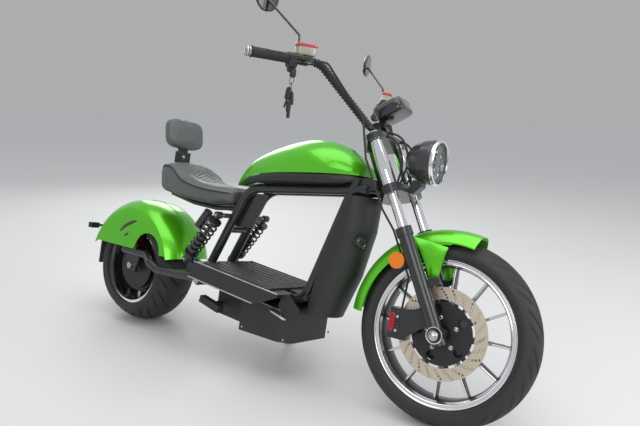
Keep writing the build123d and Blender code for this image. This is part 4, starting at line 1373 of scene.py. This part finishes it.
@dataclass
class Fender:
    """A pressed fender whose side walls end on a cut line, in millimetres from the axle."""

    name: str
    node: str
    carrier: Carrier
    axle: Point
    top: float
    half: float
    start: float
    end: float
    floor: float
    arch: tuple[float, float, float]
    nose: tuple[float, float] = (0.0, 0.0)
    wall: float = 3.0

    def low(self, turn: Array) -> Array:
        """Where each wall ends: on the level cut, the round arch or the raised nose's line."""
        s, c = np.sin(turn), np.cos(turn)
        if self.floor <= 0:
            rise = self.nose[0] / np.maximum(s - self.nose[1] * c, 0.2)
            return np.clip(np.where(c > -0.1, rise, 0.0), -self.floor, self.top - 14.0)
        level = np.where(s > 0.02, self.floor / np.maximum(s, 0.02), 1e4)
        ax, az, radius = self.arch
        toward = ax * c + az * s
        gap = toward ** 2 - (ax ** 2 + az ** 2) + radius ** 2
        arch = np.where((gap > 0) & (toward > 0), toward + np.sqrt(np.maximum(gap, 0)), 0)
        return np.minimum(np.maximum(level, arch), self.top - 12.0)

    def shell(self) -> Shell:
        """Carry the arch section round the axle, from one wall's edge over the crown to the other.

        Radius falls from the crown by SHOULDER_FALL * (|w|/half)^3.2 to the shoulder, and then
        straight down the wall to its edge. The inside is the same surface, a wall smaller.
        """
        turn = np.radians(np.linspace(self.start, self.end, 132))
        low = self.low(turn)
        crown = np.sin(np.linspace(-math.pi / 2, math.pi / 2, 29))
        sheets = []
        for inset in (0.0, self.wall):
            half, top = self.half - inset, self.top - inset
            shoulder = top - SHOULDER_FALL
            radius = top - SHOULDER_FALL * np.abs(crown) ** 3.2
            drop = np.linspace(0, 1, 9)[1:]
            ends = shoulder + (np.minimum(low, shoulder - 1.0) - shoulder)[:, None] * drop[None]
            wall_r = ends[:, ::-1]
            crown_r = np.broadcast_to(radius, (len(turn), len(crown)))
            rows_r = np.concatenate([wall_r, crown_r, ends], axis=1)
            rows_w = np.concatenate([np.full(8, -half), crown * half, np.full(8, half)])
            sheets.append(np.stack([rows_r, np.broadcast_to(rows_w, rows_r.shape)], axis=-1))
        both = np.concatenate([sheets[0], sheets[1][:, ::-1]], axis=1)
        x = self.axle[0] + both[..., 0] * np.cos(turn)[:, None]
        z = self.axle[2] + both[..., 0] * np.sin(turn)[:, None]
        rings = np.stack([x, both[..., 1], z], axis=-1)
        count, steps, _ = rings.shape
        faces = [tuple(f) for f in grid_faces(count, steps, False, True).tolist()]
        half_steps = steps // 2
        for row in (0, count - 1):
            for k in range(half_steps - 1):
                a, b = row * steps + k, row * steps + k + 1
                faces.append((a, b, row * steps + steps - 2 - k, row * steps + steps - 1 - k))
        return rings.reshape(-1, 3), faces


@dataclass
class Bodywork:
    """Painted shells, deck, boxes and the panels of the frame."""

    rear: Fender = field(default_factory=lambda: Fender(
        "rear_fender_shell", "rear_fender", Carrier.FRAME, POSE.rear_axle, top=292, half=122,
        start=15.4, end=164.6, floor=77.4, arch=(118, 77.4, 80),
    ))
    front: Fender = field(default_factory=lambda: Fender(
        "front_fender_shell", "front_fender", Carrier.STEERING, POSE.front_axle, top=325, half=70,
        start=77.0, end=178.0, floor=-274, arch=(0, 0, 0), nose=(281.7, 0.6235),
    ))
    deck_start: float = 455.0

    def deck_z(self, x: Array | float) -> Array | float:
        """Height of the deck's top."""
        return 341.0 - 0.095 * (x - self.deck_start)

    def mat(self) -> Shell:
        """The ribbed mat: height is a row of rounded ribs along the deck, closed underneath."""
        across = np.linspace(-157, 157, 315)
        wave = np.cos(across / 37.0 * 2 * math.pi) * 3.0 - 1.7
        ridge = np.clip(wave, 0, 1.0) * 3.2 * (np.abs(across) < 150)
        top = np.stack([across, 3.6 + ridge], axis=1)
        under = np.array([(157, 0.35), (-157, 0.35)])
        outline = np.concatenate([top, under])
        path = np.array([(x, 0.0, self.deck_z(x)) for x in (491.0, 494.0, 830.0, 833.0)])
        swell = np.array([0.985, 1.0, 1.0, 0.985])[:, None, None] * outline[None]
        return skinned(carried(path, swell))

    def edges(self) -> Shell:
        """Rounded trim along the deck's upper and lower edges."""
        beads = []
        for side in (-1, 1):
            for across, drop, x1 in ((165.0, -1.0, 884.0), (186.0, 57.0, 792.0)):
                x = np.linspace(self.deck_start + 1, x1, 24)
                path = np.stack([x, np.full(24, side * across), self.deck_z(x) - drop], axis=1)
                beads.append(skinned(carried(path, circle(2.6, 12))))
        return joined(beads)

    def fender_marks(self) -> Shell:
        """The rear fender's dark slots: a long swept one and a short one, on both walls."""
        made = []
        slots = (
            (((-73, 379), (-40, 420), (32, 439)), 8.0),
            (((-40, 362), (-28, 374), (-14, 378)), 5.5),
        )
        for corners, wide in slots:
            path = curve(*(np.array([x, 0.0, z], dtype=float) for x, z in corners), 25)
            outline = tapered((wide, 0.9), 16, 25, 3, 0.03)
            for side in (-1, 1):
                wall = path + np.array([0.0, side * self.rear.half, 0.0])
                made.append(skinned(carried(wall, outline, (0.0, 1.0, 0.0))))
        return joined(made)

    def crease(self) -> Shell:
        """The pressed ridge along the middle of the rear fender."""
        turn = np.radians(np.linspace(17, 163, 90))
        x, z = 291.6 * np.cos(turn), 291.6 * np.sin(turn) + self.rear.axle[2]
        path = np.stack([x, np.zeros(90), z], axis=1)
        outline = circle(1.0, 12) * np.array([2.6, 1.5])
        return skinned(carried(path, outline, (0.0, 1.0, 0.0)))

    def stays(self) -> Shell:
        """The front fender's two side stays: rounded plates against its walls."""
        edge = [(-139, 282), (-80, 276), (-16, 266), (-24, 240), (-30, 205), (-33, 170)]
        edge += [(-40, 156), (-54, 156), (-66, 172), (-84, 205), (-106, 240), (-126, 264)]
        faces = ((67.0, 0.985), (67.6, 1.0), (71.0, 1.0), (71.8, 0.985))
        x, _, z = POSE.front_axle
        plates = []
        for side in (-1, 1):
            layers = [
                [(x + a * k + (1 - k) * -70, side * y, z + b * k + (1 - k) * 225) for a, b in edge]
                for y, k in faces
            ]
            plates.append(skinned(np.array(layers)))
        return joined(plates)

    def tank_trim(self) -> Shell:
        """The rounded black moulding that follows the tank's lower edge on both sides."""
        line = [(556, 54, 664), (610, 78, 684), (683, 95, 698), (780, 109, 708)]
        line += [(880, 116, 716), (980, 108, 724), (1046, 84, 732), (1082, 56, 738)]
        made = []
        for side in (-1, 1):
            path = evened(rounded([(x, side * y, z) for x, y, z in line], 40), 60)
            made.append(skinned(carried(path, tapered((11.0, 16.0), 20, 60, 6, 0.05))))
        return joined(made)

    def port_ring(self) -> Shell:
        """The raised ring round the charge port."""
        a, b = np.array([1060.0, -40.0, 524.0]), np.array([1124.0, -56.0, 528.0])
        outline = [(14.0, -1.0), (14.0, 1.2), (16.5, 3.0), (21.0, 3.0), (23.0, 1.0)]
        outline += [(23.0, -4.0), (20.4, -4.0)]
        return ring_round(outline, tuple(b), tuple(b - a), 48)

    def box_parts(self) -> Shell:
        """Handle and hinge strip of the battery box, on both sides."""
        parts = []
        handle = ((846, 141, 240), (852, 150, 237), (908, 150, 222), (914, 141, 219))
        strip = ((712, 140.6, 262), (890, 140.6, 246))
        for side in (-1, 1):
            grip = rounded([(x, side * y, z) for x, y, z in handle], 8)
            parts.append(skinned(carried(evened(grip, 30), circle(4.2, 12), (0.0, 0.3, 1.0))))
            line = rounded([(x, side * y, z) for x, y, z in strip], 4)
            parts.append(skinned(carried(evened(line, 12), circle(1.6, 8))))
        return joined(parts)

    def build(self, shop: Workshop) -> None:
        """Paint the shells and panels, and add the trim."""
        rear = joined([self.rear.shell(), self.crease()])
        front = joined([self.front.shell(), self.stays()])
        for fender, shell in ((self.rear, rear), (self.front, front)):
            paint = (GREEN, "green_paint", 50.0, (fender.node,))
            shop.piece(fender.name, shell, fender.carrier, *paint)
        shop.dress(GREEN, "tank_cover")
        shop.dress(PLASTIC, "infill_panels", "leg_panel", "deck", "battery_box", "plate_bracket")
        shop.dress(FRAME_BLACK, "main_frame", "swingarm", "side_stand")
        shop.dress(CELLS, "battery_pack")
        shop.dress(TAIL, "tail_lamp")
        shop.dress(RUBBER, "pegs")
        shop.dress(RED, "rear_caliper")
        shop.dress(STEEL, "axle_bolts")
        corners = ((722, 148), (722, 244), (916, 148), (890, 226))
        screws = [
            bolt_heads([(x, side * 140.0, z) for x, z in corners], (0, side, 0), 3.2, 2.4)
            for side in (-1, 1)
        ]
        shop.pieces(
            Carrier.FRAME,
            ("deck_mat_ribs", self.mat(), MAT, "rubber", 50.0, ("deck_mat",)),
            ("deck_edges", self.edges(), ALLOY, "alloy"),
            ("fender_slots", self.fender_marks(), GLOSS_BLACK, "black_plastic"),
            ("tank_trim", self.tank_trim(), PLASTIC, "black_plastic", 60.0),
            ("port_ring", self.port_ring(), GLOSS_BLACK, "black_plastic"),
            ("box_handles", self.box_parts(), ALLOY, "alloy"),
            ("box_screws", joined(screws), STEEL, "steel"),
        )


# ---------- suspension, fork and lamp


@dataclass
class ForkAndLamp:
    """Fork, headlight, display and caliper details."""

    lamp: Point = (1325.0, 0.0, 823.0)

    def bezel(self) -> Shell:
        """The bright ring round the headlight."""
        outline = [(75.5, -6), (76.2, 0), (75.0, 4.0), (71.5, 6.0), (67.6, 4.6)]
        outline += [(67.4, 0.5), (72, -3)]
        return ring_round(outline, self.lamp, (1, 0, 0), 96)

    def lens(self) -> Shell:
        """A shallow clear dome in the ring."""
        rows = [(0.0, -2.5), (66.8, -2.5), (67.0, 0.0)]
        dome = np.linspace(0.15, math.pi / 2, 12)
        rows += [(67.0 * math.cos(t), 7.0 * math.sin(t)) for t in dome]
        return turned(rows, self.lamp, (1, 0, 0), 96)

    def modules(self) -> Shell:
        """Two lamp modules, a bar between them and a ring of small lamps, in low relief."""
        x, _, z = self.lamp
        parts = []
        for high in (-30.0, 30.0):
            rows = [(0, -9.6), (27, -9.6), (27, -5), (24, -3.4), (21, -6.2)]
            rows += [(15, -4.6), (8, -3.2), (0, -2.8)]
            parts.append(turned(rows, (x, 0, z + high), (1, 0, 0), 48))
        parts.append(soft_block((x - 7.0, 0, z), (3.2, 58, 5.0), 0.3, 32))
        for side in (-1, 1):
            parts.append(soft_block((x - 7.4, side * 44, z), (2.6, 9.0, 22.0), 0.4, 24))
        dot = [(0, -9.6), (2.6, -9.6), (2.6, -6.5), (1.6, -5), (0, -4.6)]
        dots = [turned(dot, (x, a, z + b), (1, 0, 0), 8) for a, b in circle(62.0, 40)]
        return joined(parts + dots)

    def back_plate(self) -> Shell:
        """The dark plate behind the modules."""
        rows = [(0, -9.95), (66.5, -9.95), (66.5, -9.5), (64, -9.3), (0, -9.5)]
        return turned(rows, self.lamp, (1, 0, 0), 64)

    def caliper_parts(self) -> Shell:
        """Two piston humps and the bridge rib of the front caliper."""
        parts = []
        for z in (272.0, 316.0):
            rows = [(17, 0), (17, 3), (15, 5), (9, 5.4), (8, 4.2), (0, 4.2)]
            parts.append(turned(rows, (1304, -75.4, z), (0, -1, 0), 32))
        parts.append(soft_block((1307, -74.6, 294), (22, 5.2, 5.0), 0.35, 24))
        return joined(parts)

    def build(self, shop: Workshop) -> None:
        """Dress the steering's pieces and add the lamp and caliper details."""
        shop.dress(CHROME, "fork_tubes")
        shop.dress(FRAME_BLACK, "lower_yoke", "upper_yoke", "fork_legs", "hand_controls")
        shop.dress(FRAME_BLACK, "shock_bodies", "front_caliper")
        shop.dress(SPRING, "shock_springs")
        shop.dress(STEEL, "front_axle")
        shop.dress(BOWL, "headlight_bowl")
        shop.dress(ORANGE, "reflectors")
        shop.dress(RUBBER, "brake_hose")
        cover = soft_block((1287, -77.0, 296), (10.0, 5.4, 31.0), 0.6, 32)
        bolts = bolt_heads([(1304, -80.6, 272), (1304, -80.6, 316)], (0, -1, 0), 4.0, 3.0)
        shop.pieces(
            Carrier.STEERING,
            ("lamp_bezel", self.bezel(), CHROME, "chrome"),
            ("lamp_modules", self.modules(), LED, "chrome"),
            ("lamp_back", self.back_plate(), GLOSS_BLACK, "black_plastic"),
            ("lamp_dome", self.lens(), LAMP_GLASS, "lens", 40.0, ("headlight_lens",)),
            ("caliper_parts", self.caliper_parts(), FRAME_BLACK, "black_alloy"),
            ("caliper_cover", cover, RED, "red_alloy"),
            ("caliper_bolts", bolts, STEEL, "steel"),
        )
        self.axle_caps(shop)
        self.screen(shop)

    def axle_caps(self, shop: Workshop) -> None:
        """Domed nuts and bright rings at the ends of the front axle."""
        x, _, z = POSE.front_axle
        parts, rings = [], []
        for side in (-1, 1):
            rows = [(13.4, -2), (15.5, -1), (15.5, 1.6), (12.0, 2.6)]
            rows += [(11.0, 8), (7.0, 12.0), (0, 13.6)]
            parts.append(turned(rows, (x, side * 127.0, z), (0, side, 0), 28))
            ring = [(25.4, -2.0), (26.0, 0.8), (23.5, 1.4), (22.4, 0.0)]
            rings.append(ring_round(ring, (x, side * 118.2, z), (0, side, 0), 48))
        shop.piece("axle_nuts", joined(parts), Carrier.STEERING, STEEL, "steel")
        shop.piece("leg_rings", joined(rings), Carrier.STEERING, CHROME, "chrome")

    def screen(self, shop: Workshop) -> None:
        """The display's bowl, its grey surround and the dark glass that faces the rider."""
        c, s = math.cos(math.radians(32)), math.sin(math.radians(32))

        def tilted(shell: Shell) -> Shell:
            points, faces = shell
            x, y, z = points.T
            return np.stack([1130 + x * c - z * s, y, 982 + x * s + z * c], axis=1), faces

        glass = tilted(soft_block((-2, 0, 23.0), (38, 46, 1.4), 0.14, 40))
        frame = tilted(soft_block((2, 0, 15.0), (52.0, 60.0, 8.4), 0.3, 48))
        bowl = tilted(soft_block((3, 0, -5.0), (53.0, 61.0, 22.0), 0.42, 56))
        shop.pieces(
            Carrier.STEERING,
            ("display_bowl", bowl, GLOSS_BLACK, "black_plastic", 40.0, ("display",)),
            ("screen_surround", frame, GUNMETAL, "black_plastic"),
            ("screen_glass", glass, SCREEN, "black_plastic"),
        )


# ---------- handlebar


@dataclass
class Handlebar:
    """The bar's wrap, grips, controls, keys and mirrors."""

    bend: Point = (965.0, 250.0, 1071.0)
    end: Point = (835.0, 448.0, 1047.0)

    def grip_frame(self) -> tuple[Array, Array, Array, Array]:
        """The right hand's origin and its up, ahead and along directions."""
        start = np.array([self.bend[0], -self.bend[1], self.bend[2]])
        along = unit(np.array([self.end[0], -self.end[1], self.end[2]]) - start)
        up = np.array([0.1, 0.0, 1.0])
        up = unit(up - along * float(up @ along))
        return start, up, np.cross(along, up), along

    def at(self, up: float, ahead: float, along: float) -> Point:
        """A point given up, ahead and along the right grip."""
        start, a, b, c = self.grip_frame()
        return tuple(float(v) for v in start + a * up + b * ahead + c * along)

    def length(self) -> float:
        """Length of the straight from the bend to the bar's end."""
        return float(np.linalg.norm(np.array(self.end) - np.array(self.bend)))

    def bar_path(self) -> Array:
        """The bar's right half, from its end to the clamp."""
        middle = POSE.fork(-12.0, 78.0, 702.0)
        points = [self.end, self.bend, middle]
        return rounded([(p[0], -p[1], p[2]) for p in points], 22.0, 14)

    def wrap(self) -> Shell:
        """A spiral sleeve on the bar: radius swells with the cosine of length / pitch less turn."""
        path = evened(self.bar_path(), 640)
        gone = travelled(path)
        keep = (gone > self.length() - 22) & (gone < gone[-1] - 12)
        path, gone = path[keep], gone[keep]
        turn = full_turn(20)
        wave = np.cos(gone[:, None] / 12.0 * 2 * math.pi - turn[None])
        swell = 11.8 + 3.0 * np.clip(wave + 0.2, 0, 1)
        outline = np.stack([swell * np.cos(turn), swell * np.sin(turn)], axis=-1)
        return skinned(carried(path, outline, (1.0, 0.0, 0.2)))

    def grip(self) -> Shell:
        """A rubber grip: rings of diamonds between two flanges."""
        start, _, _, along = self.grip_frame()
        length = self.length()
        place = np.linspace(length - 127.0, length - 1.0, 150)
        path = start + along * place[:, None]
        turn = full_turn(48)
        a = place[:, None] / 7.0 * math.pi
        knurl = np.abs(np.sin(a + 4 * turn)) * np.abs(np.sin(a - 4 * turn))
        gone = place - length
        flange = np.exp(-(((gone + 123.0) / 2.6) ** 2)) + np.exp(-(((gone + 4.0) / 2.0) ** 2))
        radius = 15.6 + 1.0 * knurl + 2.6 * flange[:, None]
        outline = np.stack([radius * np.cos(turn), radius * np.sin(turn)], axis=-1)
        return skinned(carried(path, outline, (0.1, 0.0, 1.0)))

    def cap(self) -> Shell:
        """The bright end weight with a groove."""
        start, _, _, along = self.grip_frame()
        rows = [(11, -0.5), (15.4, 0), (15.4, 4), (14.2, 5), (14.2, 6.4), (15.4, 7.4)]
        rows += [(15.4, 12), (13.5, 14.2), (7, 14.6), (6, 12), (0, 12)]
        centre = tuple(start + along * self.length())
        return turned(rows, centre, tuple(along), 32)

    def keys(self) -> Shell:
        """The lock's barrel, two rings and five blocks for fobs and keys, hanging straight down."""
        x, y, z = self.at(-40.0, -6.0, 92.0)
        barrel = [(0, 12), (9, 12), (10, 8), (10, -10), (7, -14), (0, -14)]
        parts = [turned(barrel, (x, y, z - 4), (0, 0, 1), 24)]
        wire = np.array([11.0, 0.0]) + circle(0.9, 8)
        for drop, axis in ((28, (0.3, 1, 0)), (46, (1, 0.4, 0))):
            parts.append(ring_round(wire, (x, y, z - drop), axis, 28))
        blocks = (
            ((-3, -3, -70), (9.0, 5.0, 20.0), 4.0),
            ((7, 3, -84), (8.0, 4.6, 22.0), -10.0),
            ((-9, 2, -96), (3.6, 1.4, 20.0), 12.0),
            ((6, -2, -112), (7.5, 4.4, 18.0), -4.0),
            ((9, -1, -134), (5.5, 3.6, 14.0), -6.0),
        )
        for (a, b, c), half, tilt in blocks:
            parts.append(soft_block((x + a, y + b, z + c), half, 0.45, 24, tilt))
        return joined(parts)

    def on_bar(self, shell: Shell) -> Shell:
        """Place a piece given as (up, ahead, along the right grip)."""
        start, a, b, c = self.grip_frame()
        points, faces = shell
        return start + points[:, :1] * a + points[:, 1:2] * b + points[:, 2:] * c, faces

    def switches(self) -> Shell:
        """The switch housing under the bar, with its buttons."""
        blocks = (
            ((-6, 2, 98), (24, 19, 17), 0.5, 36), ((-30, 4, 96), (13, 12, 13), 0.6, 28),
            ((-4, 20.5, 92), (5, 4, 4), 0.5, 16), ((-16, 18, 102), (4, 5, 5), 0.5, 16),
        )
        parts = [soft_block(*block) for block in blocks]
        return self.on_bar(joined(parts))

    def cups(self) -> Shell:
        """The brake fluid cup on the perch."""
        return self.on_bar(soft_block((29, -8, 58), (15, 19, 31), 0.3, 40))

    def cup_lid(self) -> Shell:
        """The cup's lid, with its two screws' bosses."""
        parts = [soft_block((46, -8, 58), (4.6, 21, 34), 0.25, 40)]
        parts += [soft_block((50.6, -8, 58 + k), (1.6, 4, 4), 0.6, 16) for k in (-24, 24)]
        return self.on_bar(joined(parts))

    def cables(self) -> Shell:
        """Black cables from the bar that bow forward past the head and back in behind it."""
        runs = (
            ((-10, -62, 690), (58, -60, 640), (52, -46, 560), (0, -34, 500), (-40, -24, 470)),
            ((-6, -40, 700), (74, -34, 650), (66, -30, 560), (6, -22, 500), (-40, -10, 470)),
            ((-10, 58, 690), (64, 50, 640), (58, 40, 550), (4, 30, 500), (-40, 18, 470)),
        )
        made = []
        for run in runs:
            path = evened(rounded([POSE.fork(*place) for place in run], 45), 70)
            made.append(skinned(carried(path, circle(3.6, 12), (0.3, 1.0, 0.0))))
        return joined(made)

    def glass(self) -> Shell:
        """The silver faces of both mirrors."""
        glasses = []
        for side in (-1, 1):
            axis = unit(np.array([-0.95, -side * 0.25, 0.05]))
            centre = np.array([800.0, side * 366.0, 1248.0]) + axis * 6.0
            rows = [(0, -0.4), (42.5, -0.4), (42.5, 0.4), (41.5, 0.8), (0, 0.9)]
            glasses.append(turned(rows, tuple(centre), tuple(axis), 64))
        return joined(glasses)

    def build(self, shop: Workshop) -> None:
        """Make the wrap, grips and small parts, and dress the bar and mirrors."""
        shop.dress(FRAME_BLACK, "handlebar")
        shop.dress(GLOSS_BLACK, "mirrors")
        shop.pieces(
            Carrier.STEERING,
            ("bar_wrap", both_sides(self.wrap()), RUBBER, "rubber", 50.0),
            ("grip_rubber", both_sides(self.grip()), RUBBER, "rubber", 50.0, ("grips",)),
            ("bar_caps", both_sides(self.cap()), ALLOY, "alloy", 50.0),
            ("keys", self.keys(), PLASTIC, "black_plastic"),
            ("head_cables", self.cables(), RUBBER, "rubber", 60.0),
            ("switch_housing", both_sides(self.switches()), PLASTIC, "black_plastic", 45.0),
            ("fluid_cups", both_sides(self.cups()), CUP, "alloy", 45.0, ("reservoirs",)),
            ("fluid_lids", both_sides(self.cup_lid()), CAP, "red_alloy", 45.0, ("reservoir_lids",)),
            ("mirror_glass", self.glass(), SILVER, "chrome"),
        )


# ---------- room and camera


@dataclass
class Studio:
    """A plain pale floor, soft lamps and the camera."""

    eye: Point = (1.47694, -1.85844, 1.008)
    look: Point = (-0.5762, 0.7954, -0.1877)
    top: Point = (-0.1352, 0.1337, 0.9817)
    lens: float = 34.45
    floor_radius: float = 40.0
    floor_height: float = -0.0006  # just under the tyres

    @staticmethod
    def placed(
        name: str, data: bpy.types.ID, back: Array, top: Point, eye: Point
    ) -> bpy.types.Object:
        """Put a camera or lamp at a point, facing away from `back`, with `top` upward."""
        right = unit(np.cross(np.array(top), back))
        matrix = np.eye(4)
        matrix[:3] = np.stack([right, np.cross(back, right), back, np.array(eye)], axis=1)
        made = bpy.data.objects.new(name, data)
        bpy.context.scene.collection.objects.link(made)
        made.matrix_world = made.matrix_world.__class__(matrix.tolist())
        return made

    def camera(self) -> None:
        """Put the camera where the photograph was taken from."""
        data = bpy.data.cameras.new("camera")
        data.lens, data.sensor_width, data.clip_end = self.lens, 36.0, 200.0
        back = -unit(np.array(self.look))
        bpy.context.scene.camera = self.placed("camera", data, back, self.top, self.eye)

    def lamp(self, name: str, place: Point, size: float, power: float) -> None:
        """A square soft lamp that faces the scooter's middle."""
        data = bpy.data.lights.new(name, "AREA")
        data.size, data.energy = size, power
        back = unit(np.array(place) - np.array([0.0, 0.0, 0.5]))
        self.placed(name, data, back, (0.0, 0.0, 1.0), place)

    def floor(self) -> None:
        """A wide round floor."""
        flat, under = circle(self.floor_radius, 96), np.full((96, 1), self.floor_height)
        points = np.hstack([flat, under])
        mesh = bpy.data.meshes.new("floor")
        mesh.from_pydata(points.tolist(), [], [tuple(range(96))])
        made = bpy.data.objects.new("floor", mesh)
        bpy.context.scene.collection.objects.link(made)
        board = Board("floor_paint")
        place = board.place()
        tone = board.blended(board.noise(place, 1.5, 3.0), (0.66,) * 3, (0.70,) * 3)
        rough = board.noise(place, 40.0, 2.0) * 0.1 + 0.5
        mesh.materials.append(board.surface(tone, rough))

    def world(self) -> None:
        """A pale room as a light, which is darker where it is seen straight or through glass."""
        board = Board("room", world=True)
        bpy.context.scene.world = board.owner
        path = board.node("ShaderNodeLightPath")
        rays = [Value(board, path.outputs[ray]) for ray in ("Is Camera Ray", "Is Transmission Ray")]
        lit, seen = (
            board.value(0, "ShaderNodeBackground", None, {0: colour, 1: strength})
            for colour, strength in (((0.9, 0.92, 0.95), 0.62), ((0.42, 0.42, 0.425), 1.0))
        )
        inputs = {0: board.maths("MAXIMUM", *rays), 1: lit, 2: seen}
        room = board.value(0, "ShaderNodeMixShader", None, inputs)
        board.node("ShaderNodeOutputWorld", None, {0: room})

    def build(self) -> None:
        """Set up the room."""
        bpy.context.scene.view_settings.view_transform = "Standard"
        self.camera()
        self.floor()
        self.world()
        self.lamp("over", (0.3, -0.3, 4.6), 4.5, 110.0)
        self.lamp("right", (2.6, -3.8, 2.8), 2.4, 60.0)
        self.lamp("front", (3.6, 0.6, 1.8), 1.6, 35.0)
        self.lamp("back", (-3.0, 2.4, 2.2), 1.8, 35.0)


def main() -> None:
    """Build every sub-assembly in order; each piece's face count is logged as it is mounted."""
    logging.basicConfig(level=logging.INFO, format="%(message)s")
    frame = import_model()
    Studio().build()
    shop = Workshop(frame)
    for part in (Wheels(), SoftSeat(), Bodywork(), ForkAndLamp(), Handlebar()):
        LOG.info("building %s", type(part).__name__)
        part.build(shop)


if __name__ == "__main__":
    main()
